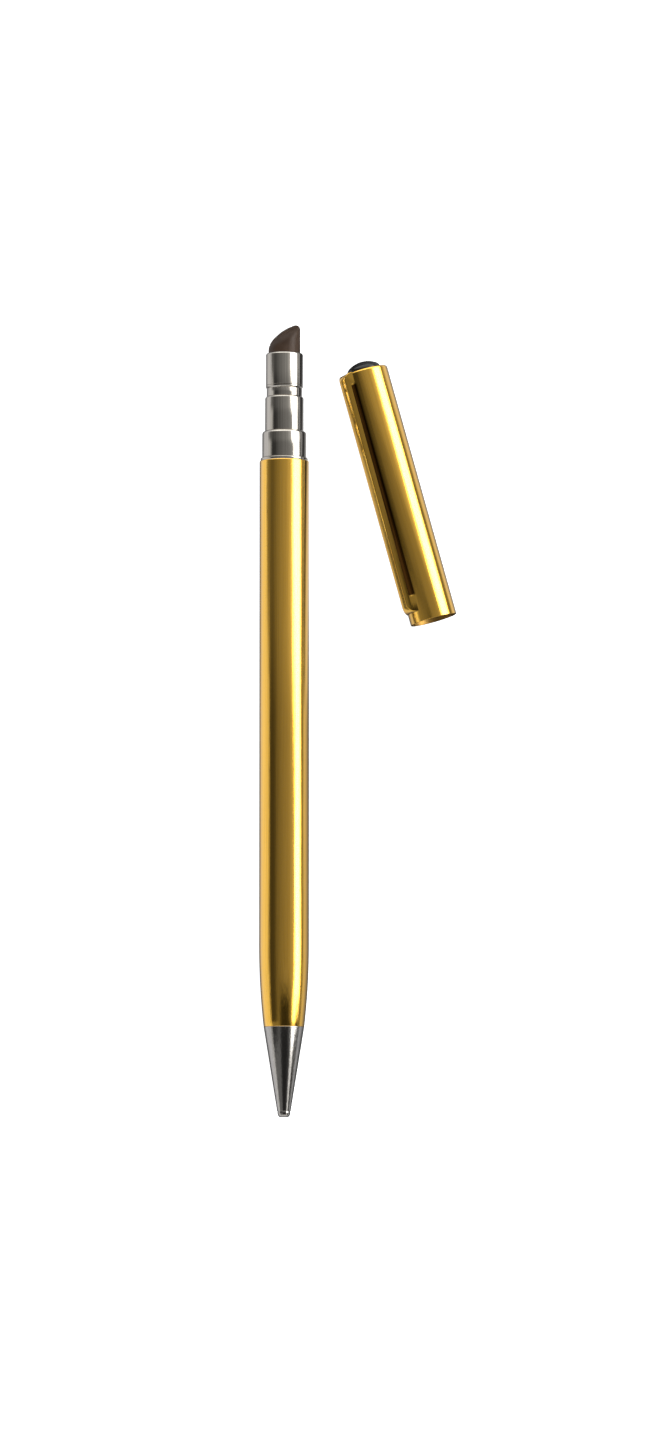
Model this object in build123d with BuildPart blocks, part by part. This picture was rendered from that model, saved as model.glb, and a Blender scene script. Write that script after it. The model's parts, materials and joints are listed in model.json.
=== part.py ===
from build123d import *
from math import atan2, cos, radians, sin, sqrt, tan
import os

# A slim lens cleaning pen with its clip cap off. The upper end of the gold barrel carries a stepped
# chrome head with a slanted suede cleaning tip; the lower end is a dark chrome nose cone. Turning the
# head drives a refill out of the nose through a pin in a helical slot. The cap lies beside the pen.
#
# Frame: the pen lies on a table. +Y runs along the pen towards the cleaning tip, +X towards the cap
# and +Z up. The origin is on the pen's axis, at the shoulder that the cap's mouth closes on.
# Sizes are in millimetres and angles in degrees.

# ---- clearances, all radial unless the name says otherwise ----
press_gap = 0.01
thread_gap = 0.03
running_gap = 0.05
cap_gap = 0.025
axial_gap = 0.05
loose_gap = 0.1

# ---- barrel ----
barrel_od = 7.6
barrel_wall = 0.4
barrel_length = 86.85
barrel_mouth_round = 0.15
taper_length = 12.4
barrel_end_od = 6.18

# ---- nose cone and the bush it screws into ----
nose_length = 13.9
nose_tip_od = 2.04
nose_tip_length = 0.85
nose_groove_depth = 0.08
nose_wall = 0.3
nose_spigot_wall = 0.7
nose_spigot_length = 6.5
nose_spigot_chamfer = 0.3
nose_bush_length = 7.5
exit_bore = 1.2

# ---- stepped head ----
trim_ring_height = 0.45
trim_ring_edge_round = 0.1
trim_ring_neck_wall = 0.35
collar_length = 4.15
collar_shoulder_round = 0.45
head_sleeve_wall = 0.41
head_sleeve_length = 5.35
head_sleeve_shoulder = 0.3
neck_step = 0.14
neck_length = 1.25
ferrule_wall = 0.38
ferrule_length = 5.5
ferrule_lip_round = 0.36
ferrule_foot_chamfer = 0.2
stud_od = 3.0

# ---- cleaning tip ----
tip_od = 4.95
tip_height = 4.56
tip_slant = 35.0
tip_turn = 28.0
tip_edge_round = 0.7
core_edge_round = 0.25
tip_pad_thickness = 0.8
tip_socket_depth = 4.0

# ---- twist drive ----
guide_wall = 0.79
spindle_wall = 0.5
spindle_top_height = 7.0
guide_length = 14.75
spindle_tail = 1.2
pin_diameter = 1.2
pin_chamfer = 0.1
pin_depth = 7.55
pin_end_setback = 0.3
slot_gap = 0.1
twist_range = 180.0
point_travel = 3.2
circlip_thickness = 0.4
circlip_wall = 0.8
circlip_opening = 60.0
circlip_groove_depth = 0.25
drag_ring_section = 0.5
drag_ring_depth = 2.6

# ---- refill ----
refill_od = 3.0
refill_wall = 0.3
carrier_above_pin = 2.5
carrier_below_pin = 6.0
carrier_chamfer = 0.3
refill_socket_below_pin = 1.5
point_setback = 1.0
ball_diameter = 0.8
ball_lip_share = 0.3
needle_od = 1.0
point_cone_length = 1.5
point_stem_gap = 0.175
point_spigot_length = 3.5
refill_nose_gap = 0.15

# ---- return spring ----
spring_wire = 0.25
spring_length = 7.0
spring_turns = 6.0
spring_end_gap = 0.03

# ---- cap ----
cap_length = 39.9
cap_wall = 0.2
cap_end_wall = 0.5
cap_rim_round = 0.35
cap_mouth_chamfer = 0.06
cap_tilt = 15.5
cap_mouth_x = 22.9
cap_mouth_y = -24.93
cap_mouth_step = 0.17
cap_mouth_depth = 5.5
liner_wall = 0.225
liner_mouth_chamfer = 0.15
pad_cup_wall = 0.45
pad_face_height = 20.4
pad_thickness = 3.6
pad_edge_round = 0.3
plug_length = 6.0
dome_od = 5.28
dome_height = 1.5
dome_corner = 1.0
dome_stud_od = 2.4
dome_stud_length = 4.0

# ---- clip ----
clip_roll = 32.0
clip_sheet = 0.3
clip_gap = 0.08
clip_root_height = 0.82
clip_foot_height = 0.98
clip_plate_width = 1.6
clip_splay = 0.74
clip_foot_offset = 1.6
clip_root_round = 1.0
clip_foot_round = 1.35
clip_edge_round = 0.12
clip_slot_root = 1.7
clip_slot_foot = 4.1
clip_side_depth = 0.6
clip_slot_round = 0.38
clip_block_base = 0.6
clip_side_slack = 0.3
tongue_width = 1.2
tongue_height = 1.0
tongue_offset = 1.35
tongue_reach = 0.95

# ---- levels along the pen, worked out from the sizes above ----
barrel_mouth_y = -trim_ring_height
barrel_end_y = barrel_mouth_y - barrel_length
taper_y = barrel_end_y + taper_length
nose_end_y = barrel_end_y - nose_length
collar_top_y = collar_length
head_sleeve_top_y = collar_top_y + head_sleeve_length
neck_top_y = head_sleeve_top_y + neck_length
ferrule_top_y = neck_top_y + ferrule_length
tip_top_y = ferrule_top_y + tip_height
tip_base_y = ferrule_top_y - tip_socket_depth
guide_end_y = barrel_mouth_y - guide_length
spindle_end_y = guide_end_y - spindle_tail
pin_y = barrel_mouth_y - pin_depth
ball_end_y = nose_end_y + point_setback
refill_top_y = pin_y - refill_socket_below_pin

# ---- radii that follow from the fits ----
barrel_radius = barrel_od / 2
barrel_bore_radius = barrel_radius - barrel_wall
barrel_end_radius = barrel_end_od / 2
taper_depth = barrel_radius - barrel_end_radius
taper_radius = (taper_length**2 + taper_depth**2) / (2 * taper_depth)
guide_radius = barrel_bore_radius - press_gap
guide_bore_radius = guide_radius - guide_wall
guide_neck_radius = guide_bore_radius + trim_ring_neck_wall
spindle_radius = guide_bore_radius - running_gap
spindle_bore_radius = spindle_radius - spindle_wall
carrier_radius = spindle_bore_radius - running_gap
pin_radius = pin_diameter / 2
pin_end_radius = guide_radius - pin_end_setback
head_bore_radius = spindle_radius + press_gap
head_sleeve_radius = head_bore_radius + head_sleeve_wall
tip_radius = tip_od / 2
tip_core_radius = tip_radius - tip_pad_thickness - press_gap
core_peg_radius = tip_core_radius / 2
ferrule_bore_radius = tip_radius + press_gap
ferrule_radius = ferrule_bore_radius + ferrule_wall
neck_radius = ferrule_radius - neck_step
liner_bore_radius = max(head_sleeve_radius, ferrule_radius) + running_gap
liner_radius = liner_bore_radius + liner_wall
tube_bore_radius = liner_radius + press_gap
cap_bore_radius = tube_bore_radius + cap_mouth_step
cap_radius = cap_bore_radius + cap_wall
collar_radius = cap_bore_radius - cap_gap
refill_radius = refill_od / 2
refill_bore_radius = refill_radius - refill_wall
nose_bore_radius = refill_radius + refill_nose_gap
nose_spigot_radius = nose_bore_radius + nose_spigot_wall
spring_radius = refill_radius - spring_wire / 3
spring_bore_radius = spring_radius - spring_wire
point_stem_radius = spring_bore_radius - point_stem_gap
dome_stud_radius = dome_stud_od / 2
corner_reach = dome_od / 2 - dome_corner
dome_crown = (corner_reach**2 + dome_height**2 - dome_corner**2) / (2 * (dome_height - dome_corner))
dome_lean = atan2(corner_reach, dome_crown - dome_height)
dome_rise = radians(90) - dome_lean
floor_z = -max(barrel_radius, cap_radius)

# ---- the spring seats where the cone is just thick enough; the point's steps follow from it ----
cone_length = nose_length - nose_tip_length
cone_slope = (barrel_end_radius - nose_tip_od / 2) / cone_length
spring_seat_y = barrel_end_y - (barrel_end_radius - nose_bore_radius - nose_wall) / cone_slope
refill_front_y = spring_seat_y + spring_length
stem_base_y = spring_seat_y + point_travel
needle_top_y = stem_base_y - point_cone_length

# ---- planes and axes: x is the radius and y the distance along the turned piece ----
pen_plane = Plane.XY
pen_axis = Axis.Y
cap_origin = Vector(cap_mouth_x, cap_mouth_y, floor_z + cap_radius)
cap_across = Vector(cos(radians(cap_tilt)), sin(radians(cap_tilt)), 0)
cap_along = Vector(-sin(radians(cap_tilt)), cos(radians(cap_tilt)), 0)
cap_plane = Plane(origin=cap_origin, x_dir=cap_across, z_dir=(0, 0, 1))
cap_axis = Axis(cap_origin, cap_along)
clip_out = Vector(0, 0, 1) * sin(radians(clip_roll)) - cap_across * cos(radians(clip_roll))
clip_side = clip_out.cross(cap_along)
clip_section = Plane(origin=cap_origin, x_dir=clip_side, z_dir=cap_along)
clip_profile = Plane(origin=cap_origin, x_dir=cap_along, z_dir=clip_side * -1)


def save(piece, name):
    """Label one finished piece and write it to its own STEP file."""
    piece.part.label = name
    export_step(piece.part, f"parts/{name}.step")
    print(f"{name:16s} {piece.part.volume:9.2f} mm3")


def outer_rim(piece, axis):
    """The widest circular edge at a turned piece's far end along an axis."""
    circles = piece.edges().filter_by(GeomType.CIRCLE).group_by(axis)[-1]
    return circles.sort_by(SortBy.LENGTH)[-1]


def barrel_surface(y, inset):
    """Radius of the barrel at y, measured inset below its outer surface."""
    if y >= taper_y:
        return barrel_radius - inset
    return barrel_radius - taper_radius + sqrt((taper_radius - inset) ** 2 - (taper_y - y) ** 2)


# ---------------------------------------------------------------- barrel group
def make_barrel_tube():
    """Drawn tube, straight for most of its length and drawn in along a large arc to the nose."""
    end_bore = barrel_surface(barrel_end_y, barrel_wall)
    with BuildPart() as barrel_tube:
        with BuildSketch(pen_plane):
            with BuildLine():
                Line((barrel_bore_radius, barrel_mouth_y), (barrel_radius, barrel_mouth_y))
                Line((barrel_radius, barrel_mouth_y), (barrel_radius, taper_y))
                TangentArc((barrel_radius, taper_y), (barrel_end_radius, barrel_end_y), tangent=(0, -1))
                Line((barrel_end_radius, barrel_end_y), (end_bore, barrel_end_y))
                TangentArc((barrel_bore_radius, taper_y), (end_bore, barrel_end_y), tangent=(0, -1))
                Line((barrel_bore_radius, taper_y), (barrel_bore_radius, barrel_mouth_y))
            make_face()
        revolve(axis=pen_axis)
        mouth_edge = outer_rim(barrel_tube, Axis.Y)
        fillet(mouth_edge, barrel_mouth_round)
    save(barrel_tube, "barrel_tube")


def make_nose_bush():
    """Threaded bush pressed down the barrel into its tapered end; the thread is a plain bore."""
    top_y = barrel_end_y + nose_bush_length
    middle_y = barrel_end_y + nose_bush_length / 2
    inset = barrel_wall + press_gap
    bore = nose_spigot_radius + thread_gap
    with BuildPart() as nose_bush:
        with BuildSketch(pen_plane):
            with BuildLine():
                bottom = (barrel_surface(barrel_end_y, inset), barrel_end_y)
                middle = (barrel_surface(middle_y, inset), middle_y)
                top = (barrel_surface(top_y, inset), top_y)
                ThreePointArc(bottom, middle, top)
                Polyline(top, (bore, top_y), (bore, barrel_end_y), bottom)
            make_face()
        revolve(axis=pen_axis)
    save(nose_bush, "nose_bush")


def make_nose_cone():
    """Straight cone with a rounded open end, and a spigot that screws up into the bush."""
    spigot = nose_spigot_radius
    bore = nose_bore_radius
    tip = nose_tip_od / 2
    exit_radius = exit_bore / 2
    tip_y = nose_end_y + nose_tip_length
    seat_hole = point_stem_radius + running_gap
    groove = tip - nose_groove_depth
    with BuildPart() as nose_cone:
        with BuildSketch(pen_plane):
            with BuildLine():
                Polyline(
                    (bore, barrel_end_y + nose_spigot_length),
                    (spigot, barrel_end_y + nose_spigot_length),
                    (spigot, barrel_end_y),
                    (barrel_end_radius, barrel_end_y),
                    (tip, tip_y),
                    (groove, tip_y),
                    (groove, tip_y - nose_groove_depth),
                    (tip - nose_groove_depth / 2, tip_y - nose_groove_depth),
                )
                RadiusArc(
                    (tip - nose_groove_depth / 2, tip_y - nose_groove_depth),
                    (exit_radius, nose_end_y),
                    -(nose_tip_length - nose_groove_depth),
                )
                Polyline(
                    (exit_radius, nose_end_y),
                    (exit_radius, nose_end_y + 2 * nose_tip_length),
                    (seat_hole, spring_seat_y),
                    (bore, spring_seat_y),
                    (bore, barrel_end_y + nose_spigot_length),
                )
            make_face()
        revolve(axis=pen_axis)
        top_edge = outer_rim(nose_cone, Axis.Y)
        chamfer(top_edge, nose_spigot_chamfer)
    save(nose_cone, "nose_cone")


def make_guide_sleeve():
    """Sleeve pressed in the barrel's mouth: the head turns in it and a straight slot steers the pin."""
    neck = guide_neck_radius
    slot_top = pin_y + pin_radius + slot_gap
    slot_bottom = pin_y - point_travel - pin_radius - slot_gap
    with BuildPart() as guide_sleeve:
        with BuildSketch(pen_plane):
            with BuildLine():
                Polyline(
                    (guide_bore_radius, guide_end_y),
                    (guide_radius, guide_end_y),
                    (guide_radius, barrel_mouth_y),
                    (neck, barrel_mouth_y),
                    (neck, -axial_gap),
                    (guide_bore_radius, -axial_gap),
                    close=True,
                )
            make_face()
        revolve(axis=pen_axis)
        with BuildSketch(pen_plane):
            with Locations((0, (slot_top + slot_bottom) / 2)):
                SlotOverall(slot_top - slot_bottom, 2 * (pin_radius + slot_gap), rotation=90)
        extrude(amount=-barrel_radius, mode=Mode.SUBTRACT)
    save(guide_sleeve, "guide_sleeve")


def make_trim_ring():
    """Thin bright ring between barrel and collar, pushed over the neck of the guide sleeve."""
    bore = guide_neck_radius + press_gap
    with BuildPart() as trim_ring:
        with BuildSketch(Plane.XZ.offset(-barrel_mouth_y)):
            Circle(cap_radius)
            Circle(bore, mode=Mode.SUBTRACT)
        extrude(amount=-trim_ring_height)
        circles = trim_ring.edges().filter_by(GeomType.CIRCLE)
        rims = circles.filter_by(lambda edge: edge.radius > bore + press_gap)
        fillet(rims, trim_ring_edge_round)
    save(trim_ring, "trim_ring")


def make_return_spring():
    """Compression spring on the refill's point, between the nose cone's seat and the refill tube."""
    low_y = spring_seat_y + spring_end_gap + spring_wire / 2
    high_y = refill_front_y - spring_end_gap - spring_wire / 2
    coil_radius = spring_radius - spring_wire / 2
    height = high_y - low_y
    with BuildPart() as return_spring:
        with BuildLine():
            pitch = height / spring_turns
            coil = Helix(pitch, height, coil_radius, center=(0, low_y, 0), direction=(0, 1, 0))
        with BuildSketch(Plane(origin=coil @ 0, z_dir=coil % 0)):
            Circle(spring_wire / 2)
        sweep(path=coil, is_frenet=True)
    save(return_spring, "return_spring")


# ---------------------------------------------------------------- head group
def make_collar():
    """Collar that the cap's mouth grips, with a rounded shoulder to lead the cap on."""
    with BuildPart() as collar:
        with BuildSketch(Plane.XZ.offset(-axial_gap)):
            Circle(collar_radius)
            Circle(head_bore_radius, mode=Mode.SUBTRACT)
        extrude(amount=axial_gap - collar_top_y)
        shoulder = outer_rim(collar, Axis.Y)
        fillet(shoulder, collar_shoulder_round)
    save(collar, "collar")


def make_head_sleeve():
    """Sleeve above the collar, closed at its top except for the threaded hole of the tip's stud."""
    with BuildPart() as head_sleeve:
        with BuildSketch(Plane.XZ.offset(-collar_top_y)):
            Circle(head_sleeve_radius)
        extrude(amount=-head_sleeve_length)
        with BuildSketch(Plane.XZ.offset(-collar_top_y)):
            Circle(head_bore_radius)
        extrude(amount=-(spindle_top_height - collar_top_y), mode=Mode.SUBTRACT)
        with BuildSketch(Plane.XZ.offset(-spindle_top_height)):
            Circle(stud_od / 2 + thread_gap)
        extrude(amount=-(head_sleeve_top_y - spindle_top_height), mode=Mode.SUBTRACT)
        shoulder = outer_rim(head_sleeve, Axis.Y)
        fillet(shoulder, head_sleeve_shoulder)
    save(head_sleeve, "head_sleeve")


def make_tip_stud():
    """Stud with the visible neck as its flange: it screws into the sleeve and carries the ferrule."""
    seat_top_y = tip_base_y - press_gap
    with BuildPart() as tip_stud:
        with BuildSketch(pen_plane):
            with BuildLine():
                Polyline(
                    (0, spindle_top_height + loose_gap),
                    (stud_od / 2, spindle_top_height + loose_gap),
                    (stud_od / 2, head_sleeve_top_y),
                    (neck_radius, head_sleeve_top_y),
                    (neck_radius, neck_top_y),
                    (tip_radius, neck_top_y),
                    (tip_radius, seat_top_y),
                    (core_peg_radius, seat_top_y),
                    (core_peg_radius, neck_top_y),
                    (0, neck_top_y),
                    close=True,
                )
            make_face()
        revolve(axis=pen_axis)
    save(tip_stud, "tip_stud")


def make_tip_ferrule():
    """Thin sleeve that grips the cleaning tip, with a rolled upper rim and a chamfered foot."""
    with BuildPart() as tip_ferrule:
        with BuildSketch(Plane.XZ.offset(-neck_top_y)):
            Circle(ferrule_radius)
            Circle(ferrule_bore_radius, mode=Mode.SUBTRACT)
        extrude(amount=-ferrule_length)
        rings = tip_ferrule.edges().filter_by(GeomType.CIRCLE).group_by(Axis.Y)
        fillet(rings[-1].sort_by(SortBy.LENGTH)[-1], min(ferrule_lip_round, 0.95 * ferrule_wall))
        chamfer(rings[0].sort_by(SortBy.LENGTH)[-1], min(ferrule_foot_chamfer, 0.9 * ferrule_wall))
    save(tip_ferrule, "tip_ferrule")


def slanted_plug(radius, base_y, drop, edge_round):
    """Round plug along the pen whose top is cut on the slant, lowered by drop along the cut's normal."""
    slant = radians(tip_slant)
    turn = radians(tip_turn)
    normal = Vector(-sin(slant) * cos(turn), cos(slant), sin(slant) * sin(turn))
    sharp_top_y = tip_top_y + tip_edge_round * (tan(slant) + 1 / cos(slant) - 1)
    high_point = Vector(tip_radius * cos(turn), sharp_top_y, -tip_radius * sin(turn))
    cut_plane = Plane(origin=high_point - normal * drop, z_dir=normal)
    with BuildPart() as plug:
        with BuildSketch(Plane.XZ.offset(-base_y)):
            Circle(radius)
        extrude(amount=-(sharp_top_y - base_y + tip_od))
        split(bisect_by=cut_plane, keep=Keep.BOTTOM)
        if edge_round > 0:
            fillet(plug.faces().sort_by(Axis.Y)[-1].edges(), edge_round)
    return plug.part


def make_tip_core():
    """Firm plastic core, slanted like the tip, that backs the suede and stands in the stud's pocket."""
    with BuildPart() as tip_core:
        add(slanted_plug(tip_core_radius, tip_base_y, tip_pad_thickness + press_gap, core_edge_round))
        with BuildSketch(Plane.XZ.offset(-(neck_top_y + press_gap))):
            Circle(core_peg_radius - press_gap)
        extrude(amount=-(tip_base_y - neck_top_y))
    save(tip_core, "tip_core")


def make_cleaning_tip():
    """Suede cleaning tip: a slanted cap of even thickness drawn over the core."""
    pocket_radius = tip_core_radius + press_gap
    with BuildPart() as cleaning_tip:
        add(slanted_plug(tip_radius, tip_base_y, 0, tip_edge_round))
        pocket_base_y = tip_base_y - tip_pad_thickness
        add(
            slanted_plug(pocket_radius, pocket_base_y, tip_pad_thickness, core_edge_round),
            mode=Mode.SUBTRACT,
        )
    save(cleaning_tip, "cleaning_tip")


def make_drive_spindle():
    """Tube that turns in the guide sleeve; its helical slot pushes the pin along as the head turns."""
    lead = point_travel * 360 / twist_range
    slot_width = 2 * (pin_radius + slot_gap)
    slot_depth = spindle_wall + 2 * loose_gap
    slot_mid_radius = spindle_radius - spindle_wall / 2
    ring_depth = spindle_radius - drag_ring_section + running_gap
    low_end = (0, pin_y - point_travel, 0)
    with BuildPart() as drive_spindle:
        with BuildSketch(Plane.XZ.offset(-spindle_end_y)):
            Circle(spindle_radius)
            Circle(spindle_bore_radius, mode=Mode.SUBTRACT)
        extrude(amount=-(spindle_top_height - spindle_end_y))
        with BuildLine():
            slot_path = Helix(lead, point_travel, slot_mid_radius, center=low_end, direction=(0, 1, 0))
        with BuildSketch(Plane(origin=slot_path @ 0, x_dir=(0, 0, 1), z_dir=slot_path % 0)):
            Rectangle(slot_depth, slot_width)
        sweep(path=slot_path, is_frenet=True, mode=Mode.SUBTRACT)
        for end_y, toward in ((pin_y - point_travel, 1), (pin_y, -1)):
            with BuildSketch(Plane(origin=(0, end_y, 0), x_dir=(1, 0, 0), z_dir=(0, 0, toward))):
                Circle(slot_width / 2)
            extrude(amount=2 * spindle_radius, mode=Mode.SUBTRACT)
        circlip_top_y = guide_end_y - axial_gap
        groove_band = (circlip_top_y - circlip_thickness - axial_gap / 2, circlip_thickness + axial_gap)
        ring_band = (barrel_mouth_y - drag_ring_depth - drag_ring_section, drag_ring_section)
        groove_floor = spindle_radius - circlip_groove_depth
        for (band_y, band_height), floor in ((groove_band, groove_floor), (ring_band, ring_depth)):
            with BuildSketch(Plane.XZ.offset(-band_y)):
                Circle(2 * spindle_radius)
                Circle(floor, mode=Mode.SUBTRACT)
            extrude(amount=-band_height, mode=Mode.SUBTRACT)
    save(drive_spindle, "drive_spindle")


def make_spindle_circlip():
    """Open wire ring in the spindle's lower groove that stops the head from pulling out."""
    top_y = guide_end_y - axial_gap
    bore = spindle_radius - circlip_groove_depth + press_gap
    with BuildPart() as spindle_circlip:
        with BuildSketch(Plane.XZ.offset(-(top_y - circlip_thickness))):
            Circle(bore + circlip_wall)
            Circle(bore, mode=Mode.SUBTRACT)
            opening = 2 * bore * sin(radians(circlip_opening / 2))
            with Locations((0, bore)):
                Rectangle(opening, 2 * bore, mode=Mode.SUBTRACT)
        extrude(amount=-circlip_thickness)
    save(spindle_circlip, "spindle_circlip")


def make_drag_ring():
    """Rubber ring in the spindle's upper groove that gives the twist its drag."""
    section = (drag_ring_section - running_gap) / 2
    mid_radius = spindle_radius + running_gap - press_gap - section
    ring_y = barrel_mouth_y - drag_ring_depth - drag_ring_section / 2
    with BuildPart() as drag_ring:
        with BuildSketch(pen_plane):
            with Locations((mid_radius, ring_y)):
                Circle(section)
        revolve(axis=pen_axis)
    save(drag_ring, "drag_ring")


# ---------------------------------------------------------------- refill group
def make_refill_carrier():
    """Plug that slides in the spindle, with a cross hole for the pin and a socket for the refill."""
    top_y = pin_y + carrier_above_pin
    bottom_y = pin_y - carrier_below_pin
    with BuildPart() as refill_carrier:
        with BuildSketch(Plane.XZ.offset(-bottom_y)):
            Circle(carrier_radius)
        extrude(amount=bottom_y - top_y)
        with BuildSketch(Plane.XZ.offset(-bottom_y)):
            Circle(refill_radius + press_gap)
        extrude(amount=bottom_y - refill_top_y - press_gap, mode=Mode.SUBTRACT)
        with BuildSketch(Plane(origin=(0, pin_y, 0), x_dir=(1, 0, 0), z_dir=(0, 0, 1))):
            Circle(pin_radius + press_gap)
        extrude(amount=2 * spindle_radius, both=True, mode=Mode.SUBTRACT)
        ends = refill_carrier.edges().filter_by(GeomType.CIRCLE).group_by(Axis.Y)
        chamfer(ends[-1].sort_by(SortBy.LENGTH)[-1], carrier_chamfer)
    save(refill_carrier, "refill_carrier")


def make_carrier_pin():
    """Steel cross pin through the carrier, out through the helical slot into one straight slot."""
    with BuildPart() as carrier_pin:
        with BuildSketch(Plane(origin=(0, pin_y, carrier_radius), x_dir=(1, 0, 0), z_dir=(0, 0, -1))):
            Circle(pin_radius)
        extrude(amount=carrier_radius + pin_end_radius)
        chamfer(carrier_pin.edges().filter_by(GeomType.CIRCLE), pin_chamfer)
    save(carrier_pin, "carrier_pin")


def make_refill_tube():
    """Ink tube of the refill."""
    with BuildPart() as refill_tube:
        with BuildSketch(Plane.XZ.offset(-refill_front_y)):
            Circle(refill_radius)
            Circle(refill_bore_radius, mode=Mode.SUBTRACT)
        extrude(amount=refill_front_y - refill_top_y)
    save(refill_tube, "refill_tube")


def make_refill_point():
    """Needle point: spigot in the ink tube, stem for the spring, cone and needle with a ball seat."""
    ball_y = ball_end_y + ball_diameter / 2
    lip_y = ball_end_y + ball_lip_share * ball_diameter
    with BuildPart() as refill_point:
        with BuildSketch(pen_plane):
            with BuildLine():
                Polyline(
                    (0, refill_front_y + point_spigot_length),
                    (refill_bore_radius - press_gap, refill_front_y + point_spigot_length),
                    (refill_bore_radius - press_gap, refill_front_y - press_gap),
                    (point_stem_radius, refill_front_y - press_gap),
                    (point_stem_radius, stem_base_y),
                    (needle_od / 2, needle_top_y),
                    (needle_od / 2, lip_y + ball_diameter / 2),
                    (ball_diameter / 2, lip_y),
                    (0, lip_y),
                    close=True,
                )
            make_face()
        revolve(axis=pen_axis)
        with Locations((0, ball_y, 0)):
            Sphere(ball_diameter / 2 + press_gap, mode=Mode.SUBTRACT)
    save(refill_point, "refill_point")


def make_writing_ball():
    """Ball that rolls the ink on, held by the needle's lip."""
    with BuildPart() as writing_ball:
        with Locations((0, ball_end_y + ball_diameter / 2, 0)):
            Sphere(ball_diameter / 2)
    save(writing_ball, "writing_ball")


# ---------------------------------------------------------------- cap group
def make_cap_tube():
    """Drawn tube, bored out at its mouth, with a closed end, the stud's hole and the clip's window."""
    bore_end = cap_length - cap_end_wall
    with BuildPart() as cap_tube:
        with BuildSketch(cap_plane):
            with BuildLine():
                Polyline(
                    (cap_bore_radius, 0),
                    (cap_radius, 0),
                    (cap_radius, cap_length),
                    (dome_stud_radius + loose_gap, cap_length),
                    (dome_stud_radius + loose_gap, bore_end),
                    (tube_bore_radius, bore_end),
                    (tube_bore_radius, cap_mouth_depth),
                    (cap_bore_radius, cap_mouth_depth),
                    close=True,
                )
            make_face()
        revolve(axis=cap_axis)
        circles = cap_tube.edges().filter_by(GeomType.CIRCLE).group_by(cap_axis)
        fillet(circles[-1].sort_by(SortBy.LENGTH)[-1], cap_rim_round)
        chamfer(circles[0], cap_mouth_chamfer)
        with BuildSketch(clip_profile):
            Polygon(*clip_window(loose_gap), align=None)
        extrude(amount=tongue_width / 2 + loose_gap, both=True, mode=Mode.SUBTRACT)
    save(cap_tube, "cap_tube")


def clip_window(gap):
    """Corners of the clip's tongue in the clip's side view, grown by a gap."""
    top = cap_length - tongue_offset + gap
    bottom = cap_length - tongue_offset - tongue_height - gap
    inner = cap_radius - tongue_reach - gap
    outer = cap_radius + clip_root_height - clip_sheet / 2
    return (top, inner), (top, outer), (bottom, outer), (bottom, inner)


def make_cap_plug():
    """Plug pressed under the cap's end that takes the dome's stud and clamps the clip's tongue."""
    top = cap_length - cap_end_wall
    with BuildPart() as cap_plug:
        with BuildSketch(cap_plane):
            with BuildLine():
                Polyline(
                    (dome_stud_radius + thread_gap, top - plug_length),
                    (liner_radius, top - plug_length),
                    (liner_radius, top),
                    (dome_stud_radius + thread_gap, top),
                    close=True,
                )
            make_face()
        revolve(axis=cap_axis)
        with BuildSketch(clip_profile):
            Polygon(*clip_window(loose_gap), align=None)
        extrude(amount=tongue_width / 2 + loose_gap, both=True, mode=Mode.SUBTRACT)
    save(cap_plug, "cap_plug")


def make_cap_dome():
    """Glossy domed finial with a threaded stud."""
    with BuildPart() as cap_dome:
        with BuildSketch(cap_plane):
            with BuildLine():
                Polyline(
                    (0, cap_length + dome_height),
                    (0, cap_length - dome_stud_length),
                    (dome_stud_radius, cap_length - dome_stud_length),
                    (dome_stud_radius, cap_length),
                    (dome_od / 2, cap_length),
                )
                ThreePointArc(
                    (dome_od / 2, cap_length),
                    (
                        dome_od / 2 - dome_corner + dome_corner * cos(dome_rise / 2),
                        cap_length + dome_corner * sin(dome_rise / 2),
                    ),
                    (
                        dome_od / 2 - dome_corner + dome_corner * cos(dome_rise),
                        cap_length + dome_corner * sin(dome_rise),
                    ),
                )
                ThreePointArc(
                    (
                        dome_od / 2 - dome_corner + dome_corner * cos(dome_rise),
                        cap_length + dome_corner * sin(dome_rise),
                    ),
                    (
                        dome_crown * sin(dome_lean / 2),
                        cap_length + dome_height - dome_crown + dome_crown * cos(dome_lean / 2),
                    ),
                    (0, cap_length + dome_height),
                )
            make_face()
        revolve(axis=cap_axis)
    save(cap_dome, "cap_dome")


def make_cap_liner():
    """Plastic liner between the cap's mouth and the recharging pad that steadies the stepped head."""
    liner_end = pad_face_height - pad_cup_wall - axial_gap
    with BuildPart() as cap_liner:
        with BuildSketch(cap_plane):
            with BuildLine():
                Polyline(
                    (liner_bore_radius, cap_mouth_depth),
                    (liner_radius, cap_mouth_depth),
                    (liner_radius, liner_end),
                    (liner_bore_radius, liner_end),
                    close=True,
                )
            make_face()
        revolve(axis=cap_axis)
        front_circles = cap_liner.edges().filter_by(GeomType.CIRCLE).group_by(cap_axis)[0]
        chamfer(front_circles.sort_by(SortBy.LENGTH)[0], liner_mouth_chamfer)
    save(cap_liner, "cap_liner")


def make_pad_cup():
    """Cup pressed in the tube behind the liner that holds the carbon pad."""
    outer = liner_radius
    inner = outer - pad_cup_wall
    bottom = pad_face_height - pad_cup_wall
    with BuildPart() as pad_cup:
        with BuildSketch(cap_plane):
            with BuildLine():
                Polyline(
                    (inner, bottom),
                    (outer, bottom),
                    (outer, pad_face_height + pad_thickness + pad_cup_wall),
                    (0, pad_face_height + pad_thickness + pad_cup_wall),
                    (0, pad_face_height + pad_thickness),
                    (inner, pad_face_height + pad_thickness),
                    close=True,
                )
            make_face()
        revolve(axis=cap_axis)
    save(pad_cup, "pad_cup")


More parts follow.
